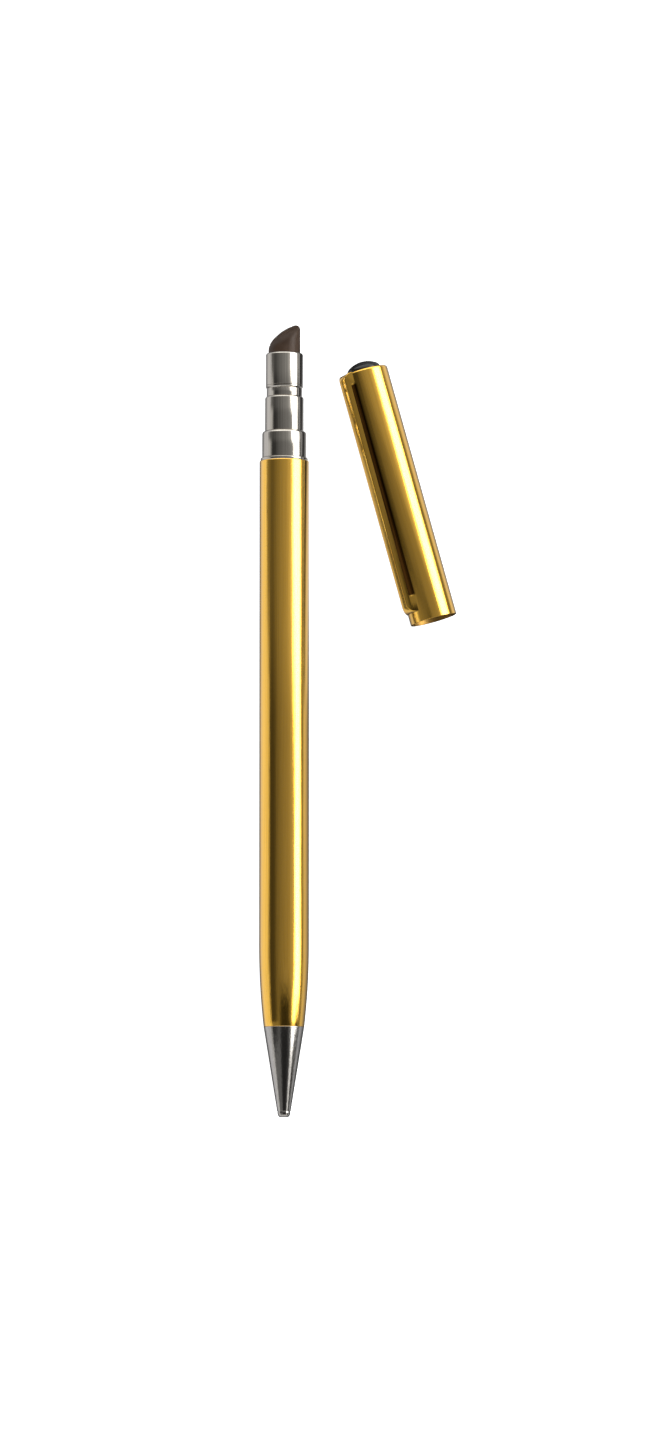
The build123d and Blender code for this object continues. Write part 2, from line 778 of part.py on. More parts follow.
def make_carbon_pad():
    """Foam disc loaded with carbon powder that the tip presses on when the cap is closed."""
    radius = liner_radius - pad_cup_wall - press_gap
    with BuildPart() as carbon_pad:
        with BuildSketch(cap_plane):
            with BuildLine():
                Polyline(
                    (0, pad_face_height),
                    (radius, pad_face_height),
                    (radius, pad_face_height + pad_thickness - press_gap),
                    (0, pad_face_height + pad_thickness - press_gap),
                    close=True,
                )
            make_face()
        revolve(axis=cap_axis)
        face_edge = carbon_pad.edges().filter_by(GeomType.CIRCLE).group_by(cap_axis)[0]
        fillet(face_edge, pad_edge_round)
    save(carbon_pad, "carbon_pad")


def clip_shell(inset):
    """Splayed block under the clip's plate, turned down to the tube at both ends, drawn in by inset."""
    root_n = cap_radius + clip_root_height - inset
    foot_n = cap_radius + clip_foot_height - inset
    base_n = clip_block_base * cap_radius
    apex_n = foot_n + clip_foot_height - clip_root_height
    half_plate = clip_plate_width / 2 + inset * clip_splay - inset * sqrt(1 + clip_splay**2)
    half_base = half_plate + clip_splay * (root_n - base_n)
    half_apex = half_plate + clip_splay * (root_n - apex_n)
    with BuildPart() as shell:
        with BuildSketch(clip_section):
            corners = [(-half_base, base_n), (half_base, base_n), (half_apex, apex_n), (-half_apex, apex_n)]
            Polygon(*corners, align=None)
        extrude(amount=cap_length)
        with BuildSketch(clip_profile) as outline:
            Polygon(
                (clip_foot_offset + inset, 0),
                (cap_length - inset, 0),
                (cap_length - inset, root_n),
                (clip_foot_offset + inset, foot_n),
                align=None,
            )
            foot_corner, root_corner = outline.vertices().sort_by(Axis.Y)[-2:].sort_by(Axis.X)
            fillet(foot_corner, clip_foot_round - inset)
            fillet(root_corner, clip_root_round - inset)
        extrude(amount=2 * cap_radius, both=True, mode=Mode.INTERSECT)
    return shell.part


def is_plate_edge(edge):
    """True for the clip's long outer edges, where its plate bends into its sides."""
    place = edge.position_at(0.5) - cap_origin
    beside = abs(place.dot(clip_side)) > clip_edge_round
    raised = place.dot(clip_out) > cap_radius
    lengthwise = abs(edge.tangent_at(0.5).dot(clip_side)) < clip_side_slack
    return beside and raised and lengthwise


def make_clip():
    """Sheet metal clip: splayed channel with long side slots, turned down to the tube at both ends."""
    slot_top = cap_length - clip_slot_root
    root_edge_n = cap_radius + clip_root_height - clip_side_depth
    foot_edge_n = cap_radius + clip_foot_height - clip_side_depth
    with BuildPart() as clip:
        add(clip_shell(0))
        fillet(clip.edges().filter_by(is_plate_edge), clip_edge_round)
        add(clip_shell(clip_sheet), mode=Mode.SUBTRACT)
        with BuildSketch(clip_profile) as slot:
            Polygon(
                (clip_slot_foot, 0),
                (slot_top, 0),
                (slot_top, root_edge_n),
                (clip_slot_foot, foot_edge_n),
                align=None,
            )
            fillet(slot.vertices().sort_by(Axis.Y)[-2:], clip_slot_round)
        extrude(amount=2 * cap_radius, both=True, mode=Mode.SUBTRACT)
        with BuildSketch(clip_section):
            Circle(cap_radius + clip_gap)
        extrude(amount=cap_length, mode=Mode.SUBTRACT)
        with BuildSketch(clip_profile):
            Polygon(*clip_window(0), align=None)
        extrude(amount=tongue_width / 2, both=True)
    save(clip, "clip")


def main():
    os.makedirs("parts", exist_ok=True)
    make_barrel_tube()
    make_nose_bush()
    make_nose_cone()
    make_guide_sleeve()
    make_trim_ring()
    make_return_spring()
    make_collar()
    make_head_sleeve()
    make_tip_stud()
    make_tip_ferrule()
    make_tip_core()
    make_cleaning_tip()
    make_drive_spindle()
    make_spindle_circlip()
    make_drag_ring()
    make_refill_carrier()
    make_carrier_pin()
    make_refill_tube()
    make_refill_point()
    make_writing_ball()
    make_cap_tube()
    make_cap_plug()
    make_cap_dome()
    make_cap_liner()
    make_pad_cup()
    make_carbon_pad()
    make_clip()


main()
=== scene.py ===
# %% [markdown]
# # A lens cleaning pen with its cap off
# The pen lies on a pale table with its clip cap beside it. The imported CAD model gives every
# size and place. This script dresses it: each turned metal part is drawn again as a fine lathe
# piece, the clip is shaped from a block hollowed to sheet thickness, the suede tip is worked up as
# a soft form, and every surface gets its own node material.
# Units are metres. +Y runs along the pen towards the suede tip, +X towards the cap, +Z up.

# %% Load the imported model
import json
from math import acos, atan2, cos, pi, radians, sin, sqrt, tan

import bmesh
import bpy
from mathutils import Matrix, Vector

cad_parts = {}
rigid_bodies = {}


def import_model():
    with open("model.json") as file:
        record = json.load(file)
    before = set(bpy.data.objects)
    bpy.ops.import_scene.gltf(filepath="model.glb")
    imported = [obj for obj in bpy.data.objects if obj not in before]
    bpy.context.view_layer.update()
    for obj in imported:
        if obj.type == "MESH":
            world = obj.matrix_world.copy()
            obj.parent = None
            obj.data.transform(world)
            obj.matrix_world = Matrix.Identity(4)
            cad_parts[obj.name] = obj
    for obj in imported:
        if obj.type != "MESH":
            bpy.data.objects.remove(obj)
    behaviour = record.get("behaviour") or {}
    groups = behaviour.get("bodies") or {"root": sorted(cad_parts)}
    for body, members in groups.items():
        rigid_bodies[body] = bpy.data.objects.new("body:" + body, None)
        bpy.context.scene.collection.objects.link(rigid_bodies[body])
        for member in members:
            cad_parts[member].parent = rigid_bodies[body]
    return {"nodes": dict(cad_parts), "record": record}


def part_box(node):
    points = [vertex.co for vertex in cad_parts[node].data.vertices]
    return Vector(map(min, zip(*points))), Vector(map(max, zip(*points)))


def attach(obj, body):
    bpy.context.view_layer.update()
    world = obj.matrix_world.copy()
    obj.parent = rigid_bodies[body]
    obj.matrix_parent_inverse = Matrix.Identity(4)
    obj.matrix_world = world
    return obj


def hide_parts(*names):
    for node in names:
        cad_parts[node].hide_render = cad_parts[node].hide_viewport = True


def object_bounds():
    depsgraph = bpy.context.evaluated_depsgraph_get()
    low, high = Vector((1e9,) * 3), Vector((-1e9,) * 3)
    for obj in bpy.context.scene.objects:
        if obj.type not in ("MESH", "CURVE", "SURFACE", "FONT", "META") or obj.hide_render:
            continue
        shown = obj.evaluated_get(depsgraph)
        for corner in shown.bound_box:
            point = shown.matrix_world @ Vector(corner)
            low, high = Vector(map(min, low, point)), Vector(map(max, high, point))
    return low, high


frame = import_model()
cad_low, cad_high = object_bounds()
MM = 0.001
print("CAD nodes", len(frame["nodes"]), "box", [round(v / MM, 2) for v in (cad_high - cad_low)])

# %% [markdown]
# ## Camera
# The pen is seen from almost straight above with a long lens, so the barrel's sides stay
# parallel. The camera leans 5.4 degrees, which shows a trace of the parts that face the cap's
# end. The long side of the picture runs along the pen.

# %% Camera
CAMERA_PLACE = Vector((0.007465, -0.130324, 0.950))
CAMERA_LEAN = radians(5.41)
CAMERA_LENS = 155.95

camera_data = bpy.data.cameras.new("camera")
camera_data.lens = CAMERA_LENS
camera_data.sensor_width = 36
camera_data.clip_start = 0.01
camera_data.clip_end = 20
camera = bpy.data.objects.new("camera", camera_data)
camera.location = CAMERA_PLACE
camera.rotation_euler = (CAMERA_LEAN, 0, 0)
bpy.context.scene.collection.objects.link(camera)
bpy.context.scene.camera = camera
bpy.context.scene.view_settings.view_transform = "Standard"
print("camera", [round(v, 3) for v in camera.location], "lens", CAMERA_LENS)

# %% [markdown]
# ## Table and light
# Polished metal shows the room, not itself. A round bar shows it squeezed into stripes, so the
# room is planned as stripes that run along the pen: a long bright strip light up on the right,
# a soft grey ceiling, a dark stretch up on the left, and the white table that both edges of the
# bar mirror. The room is painted by direction on the world, where it costs nothing to render,
# and one broad lamp lifts the table to white.

# %% Helpers for node trees
def add_node(tree, kind, **settings):
    """A new node with its properties and unlinked inputs set; inputs are given by name or number."""
    node = tree.nodes.new(kind)
    for key, value in settings.pop("inputs", {}).items():
        node.inputs[key].default_value = value
    for key, value in settings.items():
        setattr(node, key, value)
    return node


def join(tree, start, end):
    """Links an output to an input, each given as (node, socket name or number)."""
    tree.links.new(start[0].outputs[start[1]], end[0].inputs[end[1]])


def fill_ramp(node, stops, interpolation="LINEAR"):
    """Sets a colour ramp's stops from (place, colour) pairs; a number stands for a grey."""
    ramp = node.color_ramp
    ramp.interpolation = interpolation
    while len(ramp.elements) > 1:
        ramp.elements.remove(ramp.elements[-1])
    for index, (place, colour) in enumerate(stops):
        element = ramp.elements[0] if index == 0 else ramp.elements.new(place)
        element.position = place
        shade = colour if hasattr(colour, "__len__") else (colour, colour, colour)
        element.color = (*shade, 1)


# %% The room, as stripes along the pen
# Angle from straight up, positive towards the cap, and the brightness met there. The cone leans
# towards its end, so it mirrors a lower part of the room, where a dark camera stands in the
# middle: that part has stripes of its own. So have the barrel's taper, which lies between the
# two, and the cap, which is turned. Both ends of the room are plain bright walls.
ROOM_STRIPES = [
    (-180, 0.85),
    (-84, 0.85),
    (-77, 0.80),
    (-71, 0.10),
    (-66, 0.06),
    (-46, 0.06),
    (-38, 0.12),
    (-33, 0.15),
    (-23, 0.19),
    (0, 0.26),
    (20, 0.31),
    (30, 0.36),
    (46, 0.6),
    (51, 1.0),
    (55, 8.0),
    (74, 8.0),
    (80, 4.0),
    (84, 0.8),
    (88, 0.25),
    (96, 0.15),
    (102, 0.5),
    (180, 0.85),
]
CAP_STRIPES = [
    (-180, 0.85),
    (-60, 0.10),
    (0, 0.36),
    (14, 0.42),
    (24, 0.55),
    (34, 0.85),
    (40, 1.4),
    (45, 8.0),
    (76, 8.0),
    (82, 3.0),
    (86, 0.9),
    (94, 0.6),
    (104, 0.9),
    (120, 0.8),
    (180, 0.5),
]
NOSE_STRIPES = [
    (-180, 0.85),
    (-90, 1.0),
    (-78, 1.1),
    (-70, 0.3),
    (-62, 0.25),
    (-31, 0.22),
    (-22, 0.18),
    (-16, 0.04),
    (14, 0.03),
    (26, 0.05),
    (36, 0.10),
    (44, 0.25),
    (50, 1.3),
    (60, 1.6),
    (66, 0.8),
    (70, 0.06),
    (80, 0.05),
    (86, 0.3),
    (94, 0.4),
    (180, 0.85),
]
TAPER_STRIPES = [
    (-180, 0.85),
    (-84, 0.85),
    (-77, 0.80),
    (-71, 0.10),
    (-66, 0.06),
    (-46, 0.06),
    (-33, 0.15),
    (-22, 0.18),
    (-16, 0.04),
    (14, 0.03),
    (26, 0.06),
    (36, 0.3),
    (44, 0.6),
    (49, 5.0),
    (60, 5.0),
    (66, 0.8),
    (74, 0.25),
    (84, 0.3),
    (94, 0.4),
    (180, 0.85),
]
ROOM_TOP = 8.0
ROOM_FILL = 0.62
TAPER_LEAN = (-0.04, -0.12)
NOSE_LEAN = (-0.155, -0.195)
CAP_LEAN = (0.15, 0.19)
END_LEAN = (0.45, 0.75)
HEAD_END = 2.2
FOOT_END = 0.9

world = bpy.data.worlds.new("studio")
bpy.context.scene.world = world
world.use_nodes = True
room = world.node_tree
room.nodes.clear()
direction = add_node(room, "ShaderNodeTexCoord")
parts = add_node(room, "ShaderNodeSeparateXYZ")
angle = add_node(room, "ShaderNodeMath", operation="ARCTAN2")
to_ramp = add_node(room, "ShaderNodeMapRange", inputs={1: -pi, 2: pi, 3: 0.0, 4: 1.0})
join(room, (direction, "Generated"), (parts, 0))
join(room, (parts, "X"), (angle, 0))
join(room, (parts, "Z"), (angle, 1))
join(room, (angle, 0), (to_ramp, 0))


def room_ramp(stops):
    """One set of the room's stripes, from (angle, brightness) pairs."""
    ramp = add_node(room, "ShaderNodeValToRGB")
    fill_ramp(ramp, [((a + 180) / 360, level / ROOM_TOP) for a, level in stops])
    join(room, (to_ramp, 0), (ramp, 0))
    return ramp


def by_lean(lean, before, after):
    """Mixes two colours of the room as the direction leans along the pen from lean[0] to lean[1]."""
    share = add_node(room, "ShaderNodeMapRange", inputs={1: lean[0], 2: lean[1]})
    mixed = add_node(room, "ShaderNodeMix", data_type="RGBA")
    join(room, (parts, "Y"), (share, 0))
    join(room, (share, 0), (mixed, 0))
    join(room, before, (mixed, 6))
    join(room, after, (mixed, 7))
    return mixed, 2


def end_wall(level):
    """A plain wall at one end of the room."""
    wall = add_node(room, "ShaderNodeRGB")
    wall.outputs[0].default_value = (*[level / ROOM_TOP] * 3, 1)
    return wall, 0


sky = by_lean(TAPER_LEAN, (room_ramp(ROOM_STRIPES), 0), (room_ramp(TAPER_STRIPES), 0))
sky = by_lean(NOSE_LEAN, sky, (room_ramp(NOSE_STRIPES), 0))
sky = by_lean(CAP_LEAN, sky, (room_ramp(CAP_STRIPES), 0))
sky = by_lean(END_LEAN, sky, end_wall(HEAD_END))
sky = by_lean([-lean for lean in END_LEAN], sky, end_wall(FOOT_END))
mirrored = add_node(room, "ShaderNodeBackground", inputs={"Strength": ROOM_TOP})
even = add_node(room, "ShaderNodeBackground", inputs={"Color": (1, 1, 1, 1), "Strength": ROOM_FILL})
ray = add_node(room, "ShaderNodeLightPath")
choose = add_node(room, "ShaderNodeMixShader")
room_out = add_node(room, "ShaderNodeOutputWorld")
join(room, sky, (mirrored, 0))
join(room, (ray, "Is Glossy Ray"), (choose, 0))
join(room, (even, 0), (choose, 1))
join(room, (mirrored, 0), (choose, 2))
join(room, (choose, 0), (room_out, 0))
print("room stripes", len(ROOM_STRIPES))

# %% The broad lamp and the table
def soft_lamp(name, place, target, size, watts):
    """A square lamp that lights the table but isn't mirrored as a hard square."""
    data = bpy.data.lights.new(name, "AREA")
    data.shape = "SQUARE"
    data.size = size
    data.energy = watts
    lamp = bpy.data.objects.new(name, data)
    lamp.location = place
    lamp.rotation_euler = (Vector(target) - Vector(place)).to_track_quat("-Z", "Y").to_euler()
    lamp.visible_glossy = False
    bpy.context.scene.collection.objects.link(lamp)
    return lamp


soft_lamp("broad_lamp", (0.35, 0.12, 0.75), (0, -0.04, 0), 0.7, 5.0)

TABLE_Z = cad_low.z
TABLE_SIZE = 4.0
bpy.ops.object.select_all(action="DESELECT")
bpy.ops.mesh.primitive_plane_add(size=TABLE_SIZE, location=(0, 0, TABLE_Z))
table = bpy.context.object
table.name = "table"

# %% [markdown]
# The table is white paper to the eye. What the metal mirrors of it is a little different: close
# under a round bar the paper lies in the bar's own shade, which draws the thin dark outline that
# makes a bar look round. That shade is painted on the table for mirrored rays alone, once along
# the pen and once along the cap.

# %% The table's material
cap_mount = next(m for m in frame["record"]["mounts"] if m["name"] == "cap_mouth")
CAP_MOUTH = Vector(cap_mount["pos_m"])
CAP_ALONG = -Vector(cap_mount["axis"]).normalized()
CAP_ACROSS = Vector((CAP_ALONG.y, -CAP_ALONG.x, 0))
SHADE_REACH = 60 * MM
PEN_SHADE = [
    (-60, 0.95),
    (-12, 0.97),
    (-9, 0.80),
    (-6, 0.18),
    (-4, 0.05),
    (4, 0.05),
    (7, 0.22),
    (13, 0.62),
    (24, 0.72),
    (34, 0.66),
    (46, 0.25),
    (60, 0.15),
]
CAP_SHADE = [
    (-60, 0.80),
    (-12, 0.75),
    (-9, 0.70),
    (-6, 0.20),
    (-4, 0.05),
    (4, 0.05),
    (7, 0.40),
    (10, 0.80),
    (26, 0.95),
    (60, 0.60),
]

paper = bpy.data.materials.new("white_table")
paper.use_nodes = True
paper_tree = paper.node_tree
paper_skin = paper_tree.nodes["Principled BSDF"]
paper_out = paper_tree.nodes["Material Output"]
paper_skin.inputs["Roughness"].default_value = 0.9
paper_skin.inputs["Specular IOR Level"].default_value = 0.1
paper_skin.inputs["Emission Color"].default_value = (1, 1, 1, 1)
paper_skin.inputs["Emission Strength"].default_value = 0.62
paper_grain = add_node(paper_tree, "ShaderNodeTexNoise", inputs={"Scale": 900.0, "Detail": 3.0})
paper_tint = add_node(paper_tree, "ShaderNodeValToRGB")
fill_ramp(paper_tint, [(0.3, (0.86, 0.86, 0.855)), (0.7, (0.9, 0.9, 0.895))])
join(paper_tree, (paper_grain, 0), (paper_tint, 0))
join(paper_tree, (paper_tint, 0), (paper_skin, "Base Color"))

on_table = add_node(paper_tree, "ShaderNodeTexCoord")


def shade_across(across, start, stops):
    """The table's mirrored brightness by distance across a line through start."""
    from_start = add_node(paper_tree, "ShaderNodeVectorMath", operation="SUBTRACT")
    from_start.inputs[1].default_value = start
    distance = add_node(paper_tree, "ShaderNodeVectorMath", operation="DOT_PRODUCT")
    distance.inputs[1].default_value = across
    place = add_node(paper_tree, "ShaderNodeMapRange", inputs={1: -SHADE_REACH, 2: SHADE_REACH})
    shade = add_node(paper_tree, "ShaderNodeValToRGB")
    fill_ramp(shade, [(0.5 + d * MM / (2 * SHADE_REACH), level) for d, level in stops])
    join(paper_tree, (on_table, "Object"), (from_start, 0))
    join(paper_tree, (from_start, 0), (distance, 0))
    join(paper_tree, (distance, "Value"), (place, 0))
    join(paper_tree, (place, 0), (shade, 0))
    return shade


CAP_PATCH = [(-60, 0), (-19, 0), (-14, 1), (14, 1), (19, 0)]
CAP_STRETCH = [(-60, 0), (-32, 0), (-25, 1), (25, 1), (32, 0)]
cap_middle = CAP_MOUTH + CAP_ALONG * 20 * MM
pen_shade = shade_across((1, 0, 0), (0, 0, 0), PEN_SHADE)
cap_shade = shade_across(CAP_ACROSS, CAP_MOUTH, CAP_SHADE)
beside_cap = shade_across(CAP_ACROSS, CAP_MOUTH, CAP_PATCH)
along_cap = shade_across(CAP_ALONG, cap_middle, CAP_STRETCH)
cap_patch = add_node(paper_tree, "ShaderNodeMath", operation="MULTIPLY")
either = add_node(paper_tree, "ShaderNodeMix", data_type="RGBA")
seen_in_metal = add_node(paper_tree, "ShaderNodeEmission")
cool_paper = add_node(paper_tree, "ShaderNodeMix", data_type="RGBA", blend_type="MULTIPLY")
cool_paper.inputs[0].default_value = 1
cool_paper.inputs[7].default_value = (0.99, 1.0, 1.05, 1)
paper_ray = add_node(paper_tree, "ShaderNodeLightPath")
paper_choose = add_node(paper_tree, "ShaderNodeMixShader")
join(paper_tree, (beside_cap, 0), (cap_patch, 0))
join(paper_tree, (along_cap, 0), (cap_patch, 1))
join(paper_tree, (cap_patch, 0), (either, 0))
join(paper_tree, (pen_shade, 0), (either, 6))
join(paper_tree, (cap_shade, 0), (either, 7))
join(paper_tree, (either, 2), (cool_paper, 6))
join(paper_tree, (cool_paper, 2), (seen_in_metal, 0))
join(paper_tree, (paper_ray, "Is Glossy Ray"), (paper_choose, 0))
join(paper_tree, (paper_skin, 0), (paper_choose, 1))
join(paper_tree, (seen_in_metal, 0), (paper_choose, 2))
join(paper_tree, (paper_choose, 0), (paper_out, 0))
table.data.materials.append(paper)
print("table at", round(TABLE_Z / MM, 3), "mm")

# %% [markdown]
# ## Materials
# The metals share two effects, so each is a node group. `drawn_lines` gives the hair-fine lines
# that a polishing belt leaves along a tube; `handling` gives the faint cloudy haze of a surface
# that fingers have touched. Both put out plain values, and each metal uses its own amounts.

# %% Shared shader groups
def new_group(name, sockets_in, sockets_out):
    """An empty shader group with its inputs and outputs."""
    group = bpy.data.node_groups.new(name, "ShaderNodeTree")
    for label, kind, value in sockets_in:
        socket = group.interface.new_socket(label, in_out="INPUT", socket_type=kind)
        if value is not None:
            socket.default_value = value
    for label, kind in sockets_out:
        group.interface.new_socket(label, in_out="OUTPUT", socket_type=kind)
    enter = group.nodes.new("NodeGroupInput")
    leave = group.nodes.new("NodeGroupOutput")
    return group, enter, leave


drawn_lines, lines_in, lines_out = new_group(
    "drawn_lines",
    [
        ("Place", "NodeSocketVector", None),
        ("Fineness", "NodeSocketFloat", 9000.0),
        ("Length", "NodeSocketFloat", 60.0),
    ],
    [("Height", "NodeSocketFloat"), ("Mask", "NodeSocketFloat")],
)
lines_scale = add_node(drawn_lines, "ShaderNodeCombineXYZ")
lines_place = add_node(drawn_lines, "ShaderNodeVectorMath", operation="MULTIPLY")
lines_noise = add_node(drawn_lines, "ShaderNodeTexNoise", inputs={"Scale": 1.0, "Detail": 4.0})
lines_mask = add_node(drawn_lines, "ShaderNodeMapRange", inputs={1: 0.42, 2: 0.62})
join(drawn_lines, (lines_in, "Fineness"), (lines_scale, 0))
join(drawn_lines, (lines_in, "Length"), (lines_scale, 1))
join(drawn_lines, (lines_in, "Fineness"), (lines_scale, 2))
join(drawn_lines, (lines_in, "Place"), (lines_place, 0))
join(drawn_lines, (lines_scale, 0), (lines_place, 1))
join(drawn_lines, (lines_place, 0), (lines_noise, "Vector"))
join(drawn_lines, (lines_noise, 0), (lines_mask, 0))
join(drawn_lines, (lines_noise, 0), (lines_out, "Height"))
join(drawn_lines, (lines_mask, 0), (lines_out, "Mask"))

handling, handling_in, handling_out = new_group(
    "handling",
    [
        ("Place", "NodeSocketVector", None),
        ("Size", "NodeSocketFloat", 220.0),
        ("Low", "NodeSocketFloat", 0.10),
        ("High", "NodeSocketFloat", 0.16),
    ],
    [("Roughness", "NodeSocketFloat")],
)
haze = add_node(handling, "ShaderNodeTexNoise", inputs={"Detail": 5.0, "Roughness": 0.6})
haze_range = add_node(handling, "ShaderNodeMapRange", inputs={1: 0.35, 2: 0.7})
join(handling, (handling_in, "Place"), (haze, "Vector"))
join(handling, (handling_in, "Size"), (haze, "Scale"))
join(handling, (haze, 0), (haze_range, 0))
join(handling, (handling_in, "Low"), (haze_range, 3))
join(handling, (handling_in, "High"), (haze_range, 4))
join(handling, (haze_range, 0), (handling_out, "Roughness"))
print("groups", drawn_lines.name, handling.name)


# %% A metal made from the shared groups
def metal(name, shade, dark_shade, roughness, line_height=0.0006, turn=0.0, lacquer=0.0):
    """Polished metal: lines along the part, hazy roughness and a slight change of shade."""
    material = bpy.data.materials.new(name)
    material.use_nodes = True
    tree = material.node_tree
    skin = tree.nodes["Principled BSDF"]
    skin.inputs["Metallic"].default_value = 1.0
    skin.inputs["Coat Weight"].default_value = lacquer
    skin.inputs["Coat Roughness"].default_value = 0.05
    where = add_node(tree, "ShaderNodeTexCoord")
    turned_place = add_node(tree, "ShaderNodeMapping", inputs={"Rotation": (0, 0, -turn)})
    lines = add_node(tree, "ShaderNodeGroup", node_tree=drawn_lines)
    cloudy = add_node(tree, "ShaderNodeGroup", node_tree=handling)
    cloudy.inputs["Low"].default_value = roughness * 0.85
    cloudy.inputs["High"].default_value = roughness * 1.2
    tint = add_node(tree, "ShaderNodeMix", data_type="RGBA")
    tint.inputs[6].default_value = (*shade, 1)
    tint.inputs[7].default_value = (*dark_shade, 1)
    relief = add_node(tree, "ShaderNodeBump", inputs={"Strength": 0.05, "Distance": line_height})
    join(tree, (where, "Object"), (turned_place, 0))
    join(tree, (turned_place, 0), (lines, "Place"))
    join(tree, (turned_place, 0), (cloudy, "Place"))
    join(tree, (lines, "Mask"), (tint, 0))
    join(tree, (tint, 2), (skin, "Base Color"))
    join(tree, (cloudy, 0), (skin, "Roughness"))
    join(tree, (lines, "Height"), (relief, "Height"))
    join(tree, (relief, 0), (skin, "Normal"))
    return material


CAP_TILT = radians(15.5)
GOLD_LACQUER = 0.7
GOLD_SHADES = ((0.97, 0.55, 0.07), (0.90, 0.50, 0.055))
gold = metal("gold", *GOLD_SHADES, 0.07, lacquer=GOLD_LACQUER)
shell_gold = metal("shell_gold", *GOLD_SHADES, 0.07, turn=CAP_TILT, lacquer=GOLD_LACQUER)
cap_gold = metal("cap_gold", *GOLD_SHADES, 0.07, turn=CAP_TILT, lacquer=GOLD_LACQUER)
chrome = metal("chrome", (0.50, 0.465, 0.41), (0.43, 0.40, 0.35), 0.07)
# The nose cone is the same chrome as the head; this copy is a little darker, as painted shade.
dark_chrome = metal("dark_chrome", (0.45, 0.43, 0.40), (0.39, 0.37, 0.34), 0.07)
steel = metal("steel", (0.55, 0.55, 0.56), (0.46, 0.46, 0.47), 0.2)
brass = metal("brass", (0.72, 0.52, 0.22), (0.6, 0.42, 0.17), 0.25)
# The cap's bore: a dull, rough finish, with its colour darkened as painted shade for the deep bore.
dull_bore = metal("dull_bore", (0.30, 0.17, 0.04), (0.22, 0.12, 0.03), 0.45, turn=CAP_TILT)
print("metals", [m.name for m in (gold, chrome, dark_chrome, steel, brass)])

# %% [markdown]
# The other finishes are not metals. A moulded or rubbed surface has a very fine unevenness and a
# slow change of shade, so one more group, `mottle`, makes both, and each finish takes what it
# needs of it.

# %% Moulded finishes
mottle, mottle_in, mottle_out = new_group(
    "mottle",
    [
        ("Place", "NodeSocketVector", None),
        ("Cloud", "NodeSocketFloat", 300.0),
        ("Grain", "NodeSocketFloat", 9000.0),
    ],
    [("Shade", "NodeSocketFloat"), ("Height", "NodeSocketFloat")],
)
cloud = add_node(mottle, "ShaderNodeTexNoise", inputs={"Detail": 4.0, "Roughness": 0.55})
grain = add_node(mottle, "ShaderNodeTexNoise", inputs={"Detail": 3.0, "Roughness": 0.6})
cloud_range = add_node(mottle, "ShaderNodeMapRange", inputs={1: 0.35, 2: 0.68})
join(mottle, (mottle_in, "Place"), (cloud, "Vector"))
join(mottle, (mottle_in, "Place"), (grain, "Vector"))
join(mottle, (mottle_in, "Cloud"), (cloud, "Scale"))
join(mottle, (mottle_in, "Grain"), (grain, "Scale"))
join(mottle, (cloud, 0), (cloud_range, 0))
join(mottle, (cloud_range, 0), (mottle_out, "Shade"))
join(mottle, (grain, 0), (mottle_out, "Height"))


def moulded(name, shade, pale_shade, roughness, depth=0.004, fineness=9000.0, **constants):
    """A finish that isn't metal: cloudy shade, hazy roughness and a fine raised grain."""
    material = bpy.data.materials.new(name)
    material.use_nodes = True
    tree = material.node_tree
    skin = tree.nodes["Principled BSDF"]
    for label, value in constants.items():
        skin.inputs[label.replace("_", " ")].default_value = value
    where = add_node(tree, "ShaderNodeTexCoord")
    fine = add_node(tree, "ShaderNodeGroup", node_tree=mottle)
    fine.inputs["Grain"].default_value = fineness
    cloudy = add_node(tree, "ShaderNodeGroup", node_tree=handling)
    cloudy.inputs["Low"].default_value = roughness * 0.85
    cloudy.inputs["High"].default_value = roughness * 1.15
    tint = add_node(tree, "ShaderNodeMix", data_type="RGBA")
    tint.inputs[6].default_value = (*shade, 1)
    tint.inputs[7].default_value = (*pale_shade, 1)
    relief = add_node(tree, "ShaderNodeBump", inputs={"Strength": 0.3, "Distance": depth * MM})
    join(tree, (where, "Object"), (fine, "Place"))
    join(tree, (where, "Object"), (cloudy, "Place"))
    join(tree, (fine, "Shade"), (tint, 0))
    join(tree, (tint, 2), (skin, "Base Color"))
    join(tree, (cloudy, 0), (skin, "Roughness"))
    join(tree, (fine, "Height"), (relief, "Height"))
    join(tree, (relief, 0), (skin, "Normal"))
    return material


black_gloss = moulded(
    "black_gloss",
    (0.005, 0.005, 0.004),
    (0.009, 0.008, 0.007),
    0.22,
    0.0008,
    Specular_IOR_Level=0.35,
    Coat_Weight=0.1,
)
pale_plastic = moulded("pale_plastic", (0.74, 0.73, 0.69), (0.82, 0.81, 0.78), 0.42)
dark_plastic = moulded("dark_plastic", (0.022, 0.021, 0.020), (0.04, 0.038, 0.036), 0.45)
rubber = moulded("rubber", (0.018, 0.018, 0.018), (0.035, 0.034, 0.033), 0.7, 0.01)
suede = moulded(
    "suede",
    (0.030, 0.017, 0.010),
    (0.056, 0.035, 0.023),
    0.42,
    0.012,
    16000.0,
    Sheen_Weight=0.05,
    Sheen_Roughness=0.4,
    Specular_IOR_Level=0.16,
)
suede.node_tree.nodes["Principled BSDF"].inputs["Sheen Tint"].default_value = (0.75, 0.62, 0.52, 1)
carbon_foam = moulded("carbon_foam", (0.010, 0.010, 0.011), (0.028, 0.028, 0.030), 0.9, 0.05, 6000.0)
print("finishes", [m.name for m in (black_gloss, pale_plastic, dark_plastic, rubber, suede, carbon_foam)])

# %% [markdown]
# ## Turned parts
# The barrel, the rings of the head, the nose and the cap are all round, and the real ones are
# turned or drawn. So each is made the way a lathe makes it. One vertex is pulled along the
# part's outline, the corners that a tool would break are bevelled, the outline is closed, and
# the whole line is spun round the pen's axis. A CAD mesh has flats that polished metal would
# show as facets; a spin of 128 steps has none to the eye.

# %% Turning an outline
TURN_STEPS = 128
SMOOTH_ANGLE = radians(35)
MERGE = 1e-7


